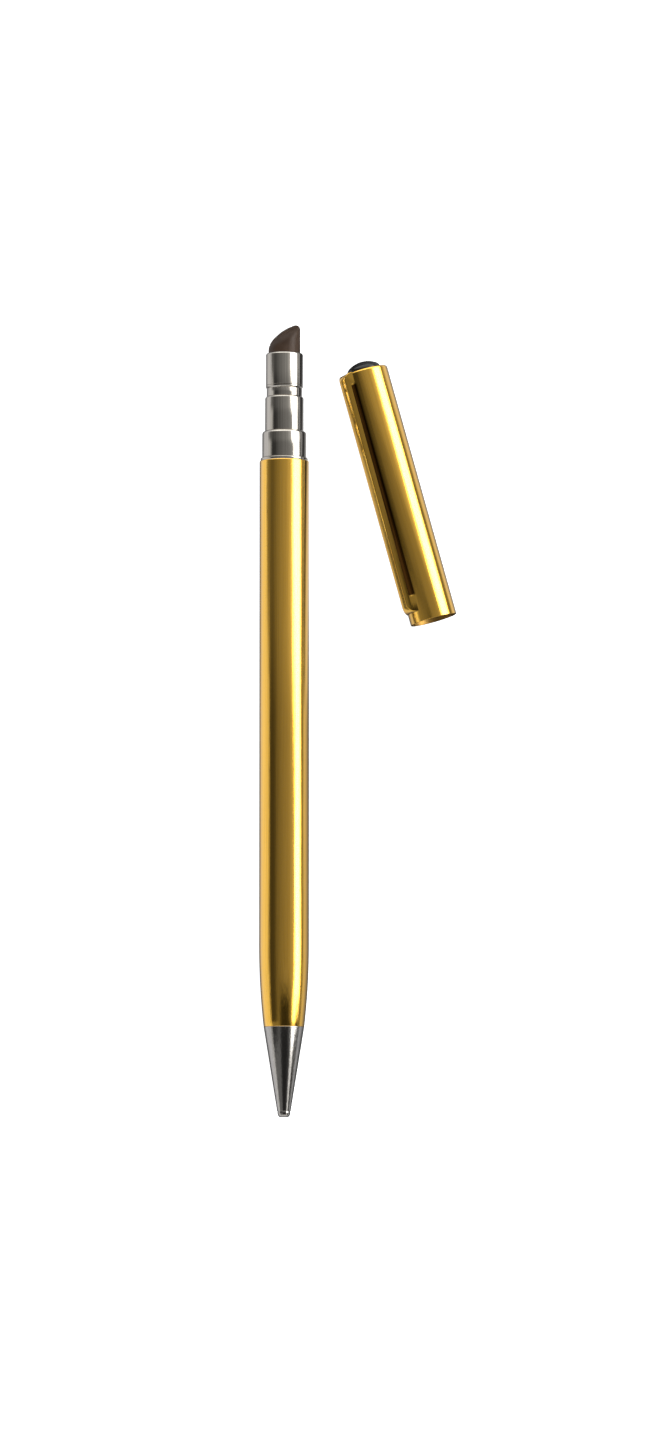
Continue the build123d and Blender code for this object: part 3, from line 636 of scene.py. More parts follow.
def begin_at(x, y):
    """Starts a mesh as one selected vertex at (x, y), in edit mode."""
    bpy.ops.object.select_all(action="DESELECT")
    bpy.ops.mesh.primitive_plane_add(size=MM, location=(0, 0, 0))
    bpy.ops.object.mode_set(mode="EDIT")
    bpy.ops.mesh.merge(type="CENTER")
    bpy.ops.transform.translate(value=(x, y, 0))
    return bpy.context.object


def pick(piece, test, kind="verts"):
    """Selects only the vertices, edges or faces whose middle passes a test."""
    mesh = bmesh.from_edit_mesh(piece.data)
    bpy.ops.mesh.select_all(action="DESELECT")
    for item in getattr(mesh, kind):
        if kind == "verts":
            middle = item.co
        elif kind == "edges":
            middle = (item.verts[0].co + item.verts[1].co) / 2
        else:
            middle = item.calc_center_median()
        if test(middle):
            item.select_set(True)
    mesh.select_flush_mode()
    bmesh.update_edit_mesh(piece.data)


def near(x, y):
    """A test for one point of an outline."""
    return lambda place: (place.xy - Vector((x, y))).length < MERGE * 10


def turned(name, outline, rounds=(), round_steps=6):
    """A closed outline of (radius, height) points spun about +Y; rounds are (radius, height, size)."""
    piece = begin_at(*outline[0])
    piece.name = name
    for start, end in zip(outline, outline[1:]):
        step = (end[0] - start[0], end[1] - start[1], 0)
        bpy.ops.mesh.extrude_region_move(TRANSFORM_OT_translate={"value": step})
    if outline[0][0] > 0 or outline[-1][0] > 0:
        pick(piece, lambda p: near(*outline[0])(p) or near(*outline[-1])(p))
        bpy.ops.mesh.edge_face_add()
    for radius, height, size in rounds:
        pick(piece, near(radius, height))
        bpy.ops.mesh.bevel(offset=size, segments=round_steps, affect="VERTICES", profile=0.5)
    bpy.ops.mesh.select_all(action="SELECT")
    bpy.ops.mesh.spin(steps=TURN_STEPS, angle=2 * pi, center=(0, 0, 0), axis=(0, 1, 0))
    bpy.ops.mesh.select_all(action="SELECT")
    bpy.ops.mesh.remove_doubles(threshold=MERGE)
    bpy.ops.mesh.normals_make_consistent(inside=False)
    bpy.ops.object.mode_set(mode="OBJECT")
    bpy.ops.object.shade_smooth_by_angle(angle=SMOOTH_ANGLE)
    return piece


def dress(piece, body, slot, material, *nodes):
    """Gives a finished piece its material and body, and lets it stand for CAD nodes; slot is not used."""
    piece.data.materials.clear()
    piece.data.materials.append(material)
    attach(piece, body)
    if nodes:
        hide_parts(*nodes)
    print(piece.name, len(piece.data.polygons), "faces on", body)


def span(node):
    """A pen part's lowest height, highest height and radius."""
    low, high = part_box(node)
    return low.y, high.y, max(high.x, -low.x, high.z, -low.z)


# %% [markdown]
# ### Barrel
# A drawn tube, straight for six sevenths of its length, then drawn in to the nose along one
# large arc. The arc is tangent to the straight part, so the reflections narrow without a kink.

# %% Gold barrel
BARREL_WALL = 0.4 * MM
BARREL_END_RADIUS = 3.09 * MM
TAPER_LENGTH = 12.4 * MM
TAPER_STEPS = 14
BARREL_MOUTH_ROUND = 0.15 * MM
BARREL_FOOT_ROUND = 0.06 * MM

barrel_low, barrel_high, barrel_radius = span("barrel_tube")
taper_top = barrel_low + TAPER_LENGTH
taper_depth = barrel_radius - BARREL_END_RADIUS
taper_bend = (TAPER_LENGTH**2 + taper_depth**2) / (2 * taper_depth)
taper = []
for step in range(TAPER_STEPS + 1):
    down = TAPER_LENGTH * step / TAPER_STEPS
    inward = taper_bend - sqrt(taper_bend**2 - down**2)
    taper.append((barrel_radius - inward, taper_top - down))
taper_inside = [(radius - BARREL_WALL, height) for radius, height in reversed(taper)]
barrel_bore = barrel_radius - BARREL_WALL
gold_barrel = turned(
    "gold_barrel",
    [(barrel_bore, barrel_high), (barrel_radius, barrel_high), *taper, *taper_inside],
    [
        (barrel_radius, barrel_high, BARREL_MOUTH_ROUND),
        (*taper[-1], BARREL_FOOT_ROUND),
    ],
)
dress(gold_barrel, "barrel", "gold", gold, "barrel_tube")

# %% [markdown]
# ### Stepped head
# Five short chrome parts stacked on one axis. What tells them apart is only how their edges
# are broken: the collar and the sleeve have round shoulders that lead the cap on, the trim ring
# has two small rounds, and the ferrule has a rolled rim and a cut foot.

# %% Trim ring, collar and sleeve
RING_BORE = 2.96 * MM
RING_ROUND = 0.12 * MM
HEAD_BORE = 2.56 * MM
HEAD_BORE_TOP = 7.0 * MM
STUD_HOLE = 1.53 * MM
COLLAR_SHOULDER = 0.45 * MM
SLEEVE_SHOULDER = 0.32 * MM
FOOT_BREAK = 0.05 * MM

ring_low, ring_high, ring_radius = span("trim_ring")
bright_ring = turned(
    "bright_ring",
    [(RING_BORE, ring_low), (ring_radius, ring_low), (ring_radius, ring_high), (RING_BORE, ring_high)],
    [(ring_radius, ring_low, RING_ROUND), (ring_radius, ring_high, RING_ROUND)],
)
dress(bright_ring, "barrel", "chrome", chrome, "trim_ring")

collar_low, collar_high, collar_radius = span("collar")
chrome_collar = turned(
    "chrome_collar",
    [
        (HEAD_BORE, collar_low),
        (collar_radius, collar_low),
        (collar_radius, collar_high),
        (HEAD_BORE, collar_high),
    ],
    [(collar_radius, collar_low, FOOT_BREAK), (collar_radius, collar_high, COLLAR_SHOULDER)],
)
dress(chrome_collar, "head", "chrome", chrome, "collar")

sleeve_low, sleeve_high, sleeve_radius = span("head_sleeve")
chrome_sleeve = turned(
    "chrome_sleeve",
    [
        (HEAD_BORE, sleeve_low),
        (sleeve_radius, sleeve_low),
        (sleeve_radius, sleeve_high),
        (STUD_HOLE, sleeve_high),
        (STUD_HOLE, HEAD_BORE_TOP),
        (HEAD_BORE, HEAD_BORE_TOP),
    ],
    [(sleeve_radius, sleeve_low, FOOT_BREAK), (sleeve_radius, sleeve_high, SLEEVE_SHOULDER)],
)
dress(chrome_sleeve, "head", "chrome", chrome, "head_sleeve")

# %% Neck and ferrule
NECK_TOP = 10.75 * MM
NECK_RADIUS = 2.725 * MM
STUD_RADIUS = 1.5 * MM
SEAT_RADIUS = 2.475 * MM
PEG_RADIUS = 0.83 * MM
NECK_BREAK = 0.06 * MM
FERRULE_BORE = 2.485 * MM
FERRULE_RIM = 0.34 * MM
FERRULE_FOOT = 0.2 * MM
FERRULE_LINE_HEIGHT = 0.42 * MM
FERRULE_LINE_DEPTH = 0.05 * MM

stud_low, seat_top, _ = span("tip_stud")
sleeve_top = sleeve_high
chrome_neck = turned(
    "chrome_neck",
    [
        (0, stud_low),
        (STUD_RADIUS, stud_low),
        (STUD_RADIUS, sleeve_top),
        (NECK_RADIUS, sleeve_top),
        (NECK_RADIUS, NECK_TOP),
        (SEAT_RADIUS, NECK_TOP),
        (SEAT_RADIUS, seat_top),
        (PEG_RADIUS, seat_top),
        (PEG_RADIUS, NECK_TOP),
        (0, NECK_TOP),
    ],
    [(NECK_RADIUS, sleeve_top, NECK_BREAK), (NECK_RADIUS, NECK_TOP, NECK_BREAK)],
)
dress(chrome_neck, "head", "chrome", chrome, "tip_stud")

ferrule_low, ferrule_high, ferrule_radius = span("tip_ferrule")
line_low = ferrule_low + FERRULE_LINE_HEIGHT
line_high = line_low + 2 * FERRULE_LINE_DEPTH
chrome_ferrule = turned(
    "chrome_ferrule",
    [
        (FERRULE_BORE, ferrule_low),
        (ferrule_radius - FERRULE_FOOT, ferrule_low),
        (ferrule_radius, ferrule_low + FERRULE_FOOT),
        (ferrule_radius, line_low),
        (ferrule_radius - FERRULE_LINE_DEPTH, line_low + FERRULE_LINE_DEPTH),
        (ferrule_radius, line_high),
        (ferrule_radius, ferrule_high),
        (FERRULE_BORE, ferrule_high),
    ],
    [(ferrule_radius, ferrule_high, FERRULE_RIM)],
    round_steps=8,
)
dress(chrome_ferrule, "head", "chrome", chrome, "tip_ferrule")

# %% [markdown]
# ### Nose cone
# A straight cone with a fine groove just above its rounded end, where the writing point comes
# out. It is really hollow: the wall is drawn too, from the exit hole up to the screw spigot.

# %% Nose cone
NOSE_RADIUS = BARREL_END_RADIUS
NOSE_TIP_RADIUS = 1.02 * MM
NOSE_TIP_LENGTH = 0.85 * MM
NOSE_GROOVE = 0.08 * MM
NOSE_EXIT = 0.6 * MM
NOSE_SPIGOT = 2.35 * MM
NOSE_BORE = 1.65 * MM
NOSE_SEAT = 94.49 * MM
NOSE_SEAT_HOLE = 1.04 * MM
NOSE_TOP_ROUND = 0.05 * MM
NOSE_END_STEPS = 10

nose_low, nose_high, _ = span("nose_cone")
tip_top = nose_low + NOSE_TIP_LENGTH
land_top = tip_top - NOSE_GROOVE
land_radius = NOSE_TIP_RADIUS - NOSE_GROOVE / 2
nose_end = []
for step in range(NOSE_END_STEPS + 1):
    turn = pi / 2 * step / NOSE_END_STEPS
    radius = NOSE_EXIT + (land_radius - NOSE_EXIT) * cos(turn)
    nose_end.append((radius, land_top - (land_top - nose_low) * sin(turn)))
nose = turned(
    "nose",
    [
        (NOSE_BORE, nose_high),
        (NOSE_SPIGOT, nose_high),
        (NOSE_SPIGOT, barrel_low),
        (NOSE_RADIUS, barrel_low),
        (NOSE_TIP_RADIUS, tip_top),
        (NOSE_TIP_RADIUS - NOSE_GROOVE, tip_top),
        (NOSE_TIP_RADIUS - NOSE_GROOVE, land_top),
        *nose_end,
        (NOSE_EXIT, nose_low + 2 * NOSE_TIP_LENGTH),
        (NOSE_SEAT_HOLE, -NOSE_SEAT),
        (NOSE_BORE, -NOSE_SEAT),
    ],
    [(NOSE_RADIUS, barrel_low, NOSE_TOP_ROUND), (NOSE_TIP_RADIUS, tip_top, NOSE_TOP_ROUND)],
)
# The cone takes the head's chrome painted a little darker, as shade.
dress(nose, "barrel", "dark_chrome", dark_chrome, "nose_cone")

# %% [markdown]
# ### Needle point and writing ball
# The refill's point waits just inside the nose and comes out when the head is twisted. It is one
# turned piece: a spigot in the ink tube, a stem that the spring stands round, a cone and a
# needle. Its end has a true socket, so the ball can be a separate piece that sits in it.

# %% Needle point and ball
BALL_RADIUS = 0.4 * MM
BALL_GAP = 0.01 * MM
BALL_STEPS = 16
SOCKET_STEPS = 6
SPIGOT_RADIUS = 1.19 * MM
STEM_RADIUS = 0.99 * MM
STEM_TOP = 87.5 * MM
STEM_BASE = 91.29 * MM
NEEDLE_TOP = 92.79 * MM
NEEDLE_RADIUS = 0.5 * MM


def arc(radius, middle, start, end, steps):
    """Points on a round edge about the axis; angles run from straight up the axis."""
    points = []
    for step in range(steps + 1):
        turn = start + (end - start) * step / steps
        points.append((radius * sin(turn), middle + radius * cos(turn)))
    return points


_, spigot_top, _ = span("refill_point")
lip, _, _ = span("refill_point")
ball_low, ball_high, _ = span("writing_ball")
ball_middle = (ball_low + ball_high) / 2
socket_radius = BALL_RADIUS + BALL_GAP
socket_edge = acos((lip - ball_middle) / socket_radius)
needle_point = turned(
    "needle_point",
    [
        (0, spigot_top),
        (SPIGOT_RADIUS, spigot_top),
        (SPIGOT_RADIUS, -STEM_TOP),
        (STEM_RADIUS, -STEM_TOP),
        (STEM_RADIUS, -STEM_BASE),
        (NEEDLE_RADIUS, -NEEDLE_TOP),
        (NEEDLE_RADIUS, lip + BALL_RADIUS),
        (BALL_RADIUS, lip),
        *arc(socket_radius, ball_middle, socket_edge, 0, SOCKET_STEPS),
    ],
    [(STEM_RADIUS, -STEM_BASE, 0.2 * MM)],
)
dress(needle_point, "refill", "steel", steel, "refill_point")

rolling_ball = turned("rolling_ball", arc(BALL_RADIUS, ball_middle, 0, pi, BALL_STEPS))
dress(rolling_ball, "refill", "steel", steel, "writing_ball")

# %% [markdown]
# ### Cap
# The cap is the same kind of work as the barrel, but it lies on the table at its own angle. It is
# turned about the middle of the world, where heights are simple distances from its mouth, and
# only then laid in place. Its place is then applied, so that the object itself stays unturned.
# At the mouth the tube is bored out to a thin lip, because it goes over the collar there.

# %% Laying a piece on the cap's axis
MOUNT_SETBACK = 0.06 * MM
CLIP_ROLL = radians(58)
cap_origin = CAP_MOUTH - CAP_ALONG * MOUNT_SETBACK


def lay_on_cap(piece, roll=0.0):
    """Turns a piece that was made about +Y onto the cap's axis and applies its place."""
    bpy.ops.object.select_all(action="DESELECT")
    piece.select_set(True)
    bpy.context.view_layer.objects.active = piece
    piece.rotation_euler = (0, -roll, CAP_TILT)
    piece.location = cap_origin
    bpy.ops.object.transform_apply(location=True, rotation=True, scale=True)


def cut(piece, cutter, operation="DIFFERENCE"):
    """Applies a boolean with a cutter, then deletes the cutter."""
    bpy.ops.object.select_all(action="DESELECT")
    piece.select_set(True)
    bpy.context.view_layer.objects.active = piece
    modifier = piece.modifiers.new("cut", "BOOLEAN")
    modifier.object = cutter
    modifier.operation = operation
    modifier.solver = "EXACT"
    bpy.ops.object.modifier_apply(modifier=modifier.name)
    bpy.data.objects.remove(cutter, do_unlink=True)


def prism(name, outline, half_width):
    """A closed (along, out) outline in the clip's side view, as thick as two half widths."""
    piece = begin_at(0, 0)
    piece.name = name
    bpy.ops.transform.translate(value=(-half_width, outline[0][0], outline[0][1]))
    for start, end in zip(outline, outline[1:]):
        step = (0, end[0] - start[0], end[1] - start[1])
        bpy.ops.mesh.extrude_region_move(TRANSFORM_OT_translate={"value": step})
    bpy.ops.mesh.select_all(action="SELECT")
    bpy.ops.mesh.edge_face_add()
    bpy.ops.mesh.extrude_region_move(TRANSFORM_OT_translate={"value": (2 * half_width, 0, 0)})
    bpy.ops.mesh.select_all(action="SELECT")
    bpy.ops.mesh.normals_make_consistent(inside=False)
    bpy.ops.object.mode_set(mode="OBJECT")
    return piece


# %% Cap shell
CAP_LENGTH = 39.9 * MM
CAP_RADIUS = 3.625 * MM
CAP_MOUTH_BORE = 3.425 * MM
CAP_BORE = 3.255 * MM
CAP_MOUTH_DEPTH = 5.5 * MM
CAP_END_WALL = 0.5 * MM
CAP_STUD_HOLE = 1.3 * MM
CAP_END_ROUND = 0.35 * MM
CAP_LIP_BREAK = 0.05 * MM
TONGUE_TOP = 38.55 * MM
TONGUE_BOTTOM = 37.55 * MM
TONGUE_IN = 2.675 * MM
TONGUE_HALF = 0.6 * MM
WINDOW_GAP = 0.1 * MM
CLIP_ROOT_HEIGHT = 0.82 * MM
CLIP_SHEET = 0.3 * MM

cap_shell = turned(
    "cap_shell",
    [
        (CAP_MOUTH_BORE, 0),
        (CAP_RADIUS, 0),
        (CAP_RADIUS, CAP_LENGTH),
        (CAP_STUD_HOLE, CAP_LENGTH),
        (CAP_STUD_HOLE, CAP_LENGTH - CAP_END_WALL),
        (CAP_BORE, CAP_LENGTH - CAP_END_WALL),
        (CAP_BORE, CAP_MOUTH_DEPTH),
        (CAP_MOUTH_BORE, CAP_MOUTH_DEPTH),
    ],
    [
        (CAP_MOUTH_BORE, 0, CAP_LIP_BREAK),
        (CAP_RADIUS, 0, CAP_LIP_BREAK),
        (CAP_RADIUS, CAP_LENGTH, CAP_END_ROUND),
    ],
)


def tongue(name, gap):
    """The clip's tongue, or with a gap the window that it goes through."""
    return prism(
        name,
        [
            (TONGUE_BOTTOM - gap, TONGUE_IN - gap),
            (TONGUE_TOP + gap, TONGUE_IN - gap),
            (TONGUE_TOP + gap, CAP_RADIUS + CLIP_ROOT_HEIGHT - CLIP_SHEET / 2),
            (TONGUE_BOTTOM - gap, CAP_RADIUS + CLIP_ROOT_HEIGHT - CLIP_SHEET / 2),
        ],
        TONGUE_HALF + gap,
    )


lay_on_cap(cap_shell)
window = tongue("window", WINDOW_GAP)
lay_on_cap(window, CLIP_ROLL)
cut(cap_shell, window)
dress(cap_shell, "cap", "gold", shell_gold, "cap_tube")

# %% [markdown]
# The shell's bore is left dull, so its faces get a second material; its colour is also darkened
# there, as painted shade for the deep bore. The strip under the clip lies in the clip's own shade,
# but the clip is left out of mirrored rays further down, so the metal can't show that shade by
# itself. It is painted instead, by a mask in the shell's material worked out from the clip's side,
# outward and long directions. It doesn't move with the clip.

# %% Bore and the strip under the clip
BORE_LIMIT = 3.5 * MM
STRIP_HALF = 1.9 * MM
STRIP_EDGE = 0.3 * MM
STRIP_FLOOR = 2.2 * MM
STRIP_LOW = 4.1 * MM
STRIP_HIGH = 38.2 * MM
STRIP_SHADE = (0.05, 0.02, 0.003)

cap_shell.data.materials.append(dull_bore)
bore_faces = 0
for face in cap_shell.data.polygons:
    from_axis = face.center - cap_origin
    from_axis -= CAP_ALONG * from_axis.dot(CAP_ALONG)
    if from_axis.length < BORE_LIMIT and face.normal.dot(from_axis) < 0:
        face.material_index = 1
        bore_faces += 1

clip_out = Vector((0, 0, 1)) * cos(CLIP_ROLL) - CAP_ACROSS * sin(CLIP_ROLL)
clip_side = clip_out.cross(CAP_ALONG)
shell_tree = shell_gold.node_tree
shell_skin = shell_tree.nodes["Principled BSDF"]
on_shell = add_node(shell_tree, "ShaderNodeTexCoord")
from_mouth = add_node(shell_tree, "ShaderNodeVectorMath", operation="SUBTRACT")
from_mouth.inputs[1].default_value = cap_origin
join(shell_tree, (on_shell, "Object"), (from_mouth, 0))


def window_along(direction, middle, half, edge):
    """1 where the distance along a direction is within half of middle, fading out over edge."""
    distance = add_node(shell_tree, "ShaderNodeVectorMath", operation="DOT_PRODUCT")
    distance.inputs[1].default_value = direction
    centred = add_node(shell_tree, "ShaderNodeMath", operation="SUBTRACT", inputs={1: middle})
    away = add_node(shell_tree, "ShaderNodeMath", operation="ABSOLUTE")
    share = add_node(shell_tree, "ShaderNodeMapRange", inputs={1: half, 2: half - edge})
    join(shell_tree, (from_mouth, 0), (distance, 0))
    join(shell_tree, (distance, "Value"), (centred, 0))
    join(shell_tree, (centred, 0), (away, 0))
    join(shell_tree, (away, 0), (share, 0))
    return share


under_clip = window_along(clip_side, 0, STRIP_HALF, STRIP_EDGE)
for share in (
    window_along(clip_out, 2 * STRIP_FLOOR, STRIP_FLOOR, STRIP_EDGE),
    window_along(CAP_ALONG, (STRIP_LOW + STRIP_HIGH) / 2, (STRIP_HIGH - STRIP_LOW) / 2, STRIP_EDGE),
):
    both = add_node(shell_tree, "ShaderNodeMath", operation="MULTIPLY")
    join(shell_tree, (under_clip, 0), (both, 0))
    join(shell_tree, (share, 0), (both, 1))
    under_clip = both
# The painted shade under the clip is mixed into the gold here.
unshaded_gold = shell_skin.inputs["Base Color"].links[0].from_node
shaded_gold = add_node(shell_tree, "ShaderNodeMix", data_type="RGBA")
shaded_gold.inputs[7].default_value = (*STRIP_SHADE, 1)
less_lacquer = add_node(shell_tree, "ShaderNodeMapRange", inputs={3: GOLD_LACQUER, 4: 0.0})
join(shell_tree, (under_clip, 0), (shaded_gold, 0))
join(shell_tree, (unshaded_gold, 2), (shaded_gold, 6))
join(shell_tree, (shaded_gold, 2), (shell_skin, "Base Color"))
join(shell_tree, (under_clip, 0), (less_lacquer, 0))
join(shell_tree, (less_lacquer, 0), (shell_skin, "Coat Weight"))
print("bore faces", bore_faces)

# %% Button and lining
BUTTON_RADIUS = 2.64 * MM
BUTTON_HEIGHT = 1.5 * MM
BUTTON_CORNER = 1.0 * MM
BUTTON_STUD = 1.2 * MM
BUTTON_STUD_LENGTH = 4.0 * MM
BUTTON_STEPS = 14
LINING_BORE = 3.02 * MM
LINING_RADIUS = 3.245 * MM
LINING_END = 19.9 * MM
LINING_LEAD = 0.12 * MM

corner_reach = BUTTON_RADIUS - BUTTON_CORNER
crown_radius = corner_reach**2 + BUTTON_HEIGHT**2 - BUTTON_CORNER**2
crown_radius /= 2 * (BUTTON_HEIGHT - BUTTON_CORNER)
crown_lean = atan2(corner_reach, crown_radius - BUTTON_HEIGHT)
button_dome = []
for step in range(BUTTON_STEPS):
    lean = crown_lean * step / BUTTON_STEPS
    rise = CAP_LENGTH + BUTTON_HEIGHT - crown_radius * (1 - cos(lean))
    button_dome.append((crown_radius * sin(lean), rise))
for step in range(BUTTON_STEPS + 1):
    lean = crown_lean + (pi / 2 - crown_lean) * step / BUTTON_STEPS
    button_dome.append((corner_reach + BUTTON_CORNER * sin(lean), CAP_LENGTH + BUTTON_CORNER * cos(lean)))
cap_button = turned(
    "cap_button",
    [
        *button_dome,
        (BUTTON_STUD, CAP_LENGTH),
        (BUTTON_STUD, CAP_LENGTH - BUTTON_STUD_LENGTH),
        (0, CAP_LENGTH - BUTTON_STUD_LENGTH),
    ],
)
lay_on_cap(cap_button)
dress(cap_button, "cap", "black_gloss", black_gloss, "cap_dome")

cap_lining = turned(
    "cap_lining",
    [
        (LINING_BORE, CAP_MOUTH_DEPTH),
        (LINING_RADIUS, CAP_MOUTH_DEPTH),
        (LINING_RADIUS, LINING_END),
        (LINING_BORE, LINING_END),
    ],
    [(LINING_BORE, CAP_MOUTH_DEPTH, LINING_LEAD)],
)
lay_on_cap(cap_lining)
dress(cap_lining, "cap", "dark_plastic", dark_plastic, "cap_liner")

# %% [markdown]
# ### Clip
# The real clip is pressed from one piece of sheet: a narrow plate along the top, sides that
# splay out to the tube, and both ends turned down. A solid block with that outer form is shaped
# first, because its bends are then plain bevels. A second block, smaller by the sheet's
# thickness, hollows it out, which keeps the wall even round the bends. The tube and the long
# side slots are cut last, so that their edges are square through the sheet as a press leaves
# them.

# %% Clip block
CLIP_FOOT = 1.6 * MM
CLIP_FOOT_HEIGHT = 0.98 * MM
CLIP_HALF_PLATE = 0.8 * MM
CLIP_SPLAY = 0.74
CLIP_BASE = 2.175 * MM
CLIP_ROOT_ROUND = 1.0 * MM
CLIP_FOOT_ROUND = 1.35 * MM
CLIP_EDGE_ROUND = 0.13 * MM
CLIP_TUBE_GAP = 0.08 * MM
SLOT_FOOT = 4.1 * MM
SLOT_ROOT = 38.2 * MM
SLOT_DEPTH = 0.6 * MM
SLOT_ROUND = 0.38 * MM

root_out = CAP_RADIUS + CLIP_ROOT_HEIGHT
foot_out = CAP_RADIUS + CLIP_FOOT_HEIGHT


def pick_edges(piece, test):
    """Selects the edges that pass a test of the edge itself."""
    mesh = bmesh.from_edit_mesh(piece.data)
    mesh.normal_update()
    bpy.ops.mesh.select_all(action="DESELECT")
    for edge in mesh.edges:
        edge.select_set(test(edge))
    mesh.select_flush_mode()
    bmesh.update_edit_mesh(piece.data)


def on_bend(edge):
    """True for the edges where the plate, or a turned-down end, bends into a splayed side."""
    if len(edge.link_faces) != 2:
        return False
    sideways = [abs(face.normal.x) > 0.5 for face in edge.link_faces]
    down = any(face.normal.z < -0.5 for face in edge.link_faces)
    return sideways[0] != sideways[1] and not down


def clip_block(name, inset, base):
    """The clip's outer form, or with an inset the hollow under its sheet."""
    foot = CLIP_FOOT + inset
    root = CAP_LENGTH - inset
    block = prism(
        name,
        [(foot, base), (root, base), (root, root_out - inset), (foot, foot_out - inset)],
        2 * CAP_RADIUS,
    )
    bpy.ops.object.mode_set(mode="EDIT")
    for hand in (-1, 1):
        side_normal = Vector((hand, 0, CLIP_SPLAY)).normalized()
        side_point = Vector((hand * CLIP_HALF_PLATE, 0, root_out)) - side_normal * inset
        bpy.ops.mesh.select_all(action="SELECT")
        bpy.ops.mesh.bisect(
            plane_co=side_point, plane_no=side_normal, clear_outer=True, use_fill=True
        )
    bpy.ops.mesh.select_mode(type="EDGE")
    above = (root_out + base) / 2
    pick_edges(block, lambda e: all(abs(v.co.y - root) < MERGE and v.co.z > above for v in e.verts))
    bpy.ops.mesh.bevel(offset=CLIP_ROOT_ROUND - inset, segments=10, affect="EDGES")
    pick_edges(block, lambda e: all(abs(v.co.y - foot) < MERGE and v.co.z > above for v in e.verts))
    bpy.ops.mesh.bevel(offset=CLIP_FOOT_ROUND - inset, segments=12, affect="EDGES")
    if inset == 0:
        pick_edges(block, on_bend)
        bpy.ops.mesh.bevel(offset=CLIP_EDGE_ROUND, segments=3, affect="EDGES")
    bpy.ops.mesh.select_mode(type="VERT")
    bpy.ops.mesh.select_all(action="SELECT")
    bpy.ops.mesh.remove_doubles(threshold=MERGE)
    bpy.ops.mesh.normals_make_consistent(inside=False)
    bpy.ops.object.mode_set(mode="OBJECT")
    return block


gold_clip = clip_block("gold_clip", 0, CLIP_BASE)
print("clip block", len(gold_clip.data.polygons), "faces")

# %% Clip sheet, slots and tongue
cut(gold_clip, clip_block("hollow", CLIP_SHEET, CLIP_BASE - CLIP_SHEET))
bpy.ops.object.select_all(action="DESELECT")
bpy.ops.mesh.primitive_cylinder_add(
    vertices=TURN_STEPS,
    radius=CAP_RADIUS + CLIP_TUBE_GAP,
    depth=2 * CAP_LENGTH,
    location=(0, CAP_LENGTH / 2, 0),
    rotation=(pi / 2, 0, 0),
)
cut(gold_clip, bpy.context.object)

slot_cutter = prism(
    "slot_cutter",
    [
        (SLOT_FOOT, 0),
        (SLOT_ROOT, 0),
        (SLOT_ROOT, root_out - SLOT_DEPTH),
        (SLOT_FOOT, foot_out - SLOT_DEPTH),
    ],
    2 * CAP_RADIUS,
)
bpy.ops.object.mode_set(mode="EDIT")
bpy.ops.mesh.select_mode(type="EDGE")
pick_edges(slot_cutter, lambda e: e.verts[0].co.z > 0 and abs(e.verts[0].co.x - e.verts[1].co.x) > CAP_RADIUS)
bpy.ops.mesh.bevel(offset=SLOT_ROUND, segments=8, affect="EDGES")
bpy.ops.mesh.select_mode(type="VERT")
bpy.ops.object.mode_set(mode="OBJECT")
cut(gold_clip, slot_cutter)
cut(gold_clip, tongue("tongue", 0), "UNION")
bpy.ops.object.shade_smooth_by_angle(angle=radians(24))
lay_on_cap(gold_clip, CLIP_ROLL)
dress(gold_clip, "clip", "gold", cap_gold, "clip")

# %% [markdown]
# ### Suede tip
# The tip is chamois suede drawn tight over a firm core and cut on the slant, so its edges are
# soft and its long face is a little crowned. It could be simulated as cloth, but suede glued
# over a core has no slack to fall, so it is modelled: a round bar is cut on the slant, its edge
# gets a broad bevel, the cut face is drawn up in rings, and the whole is remeshed evenly. Two
# displacements then give it the pillowy unevenness and the nap of the real skin.

# %% Suede tip
CUT_SLANT = radians(35)
CUT_TURN = radians(28)
TIP_CORNER = 0.7 * MM
TIP_ROUND = 1.3 * MM
TIP_SIDES = 96
TIP_SKIN = 0.79 * MM
TIP_NAP = 0.03 * MM
TIP_CROWN = 0.38 * MM
TIP_SPARE = 0.09 * MM
TIP_RINGS = 4
TIP_BEVEL = 12
RING_SHARE = 0.7
TIP_GRID = 0.085 * MM

tip_low, tip_high, tip_radius = span("cleaning_tip")
cut_normal = Vector((-sin(CUT_SLANT) * cos(CUT_TURN), cos(CUT_SLANT), sin(CUT_SLANT) * sin(CUT_TURN)))
corner_rise = TIP_CORNER * (tan(CUT_SLANT) + 1 / cos(CUT_SLANT) - 1)
sharp_top = tip_high + corner_rise - TIP_SPARE
cut_point = Vector((tip_radius * cos(CUT_TURN), sharp_top, -tip_radius * sin(CUT_TURN)))


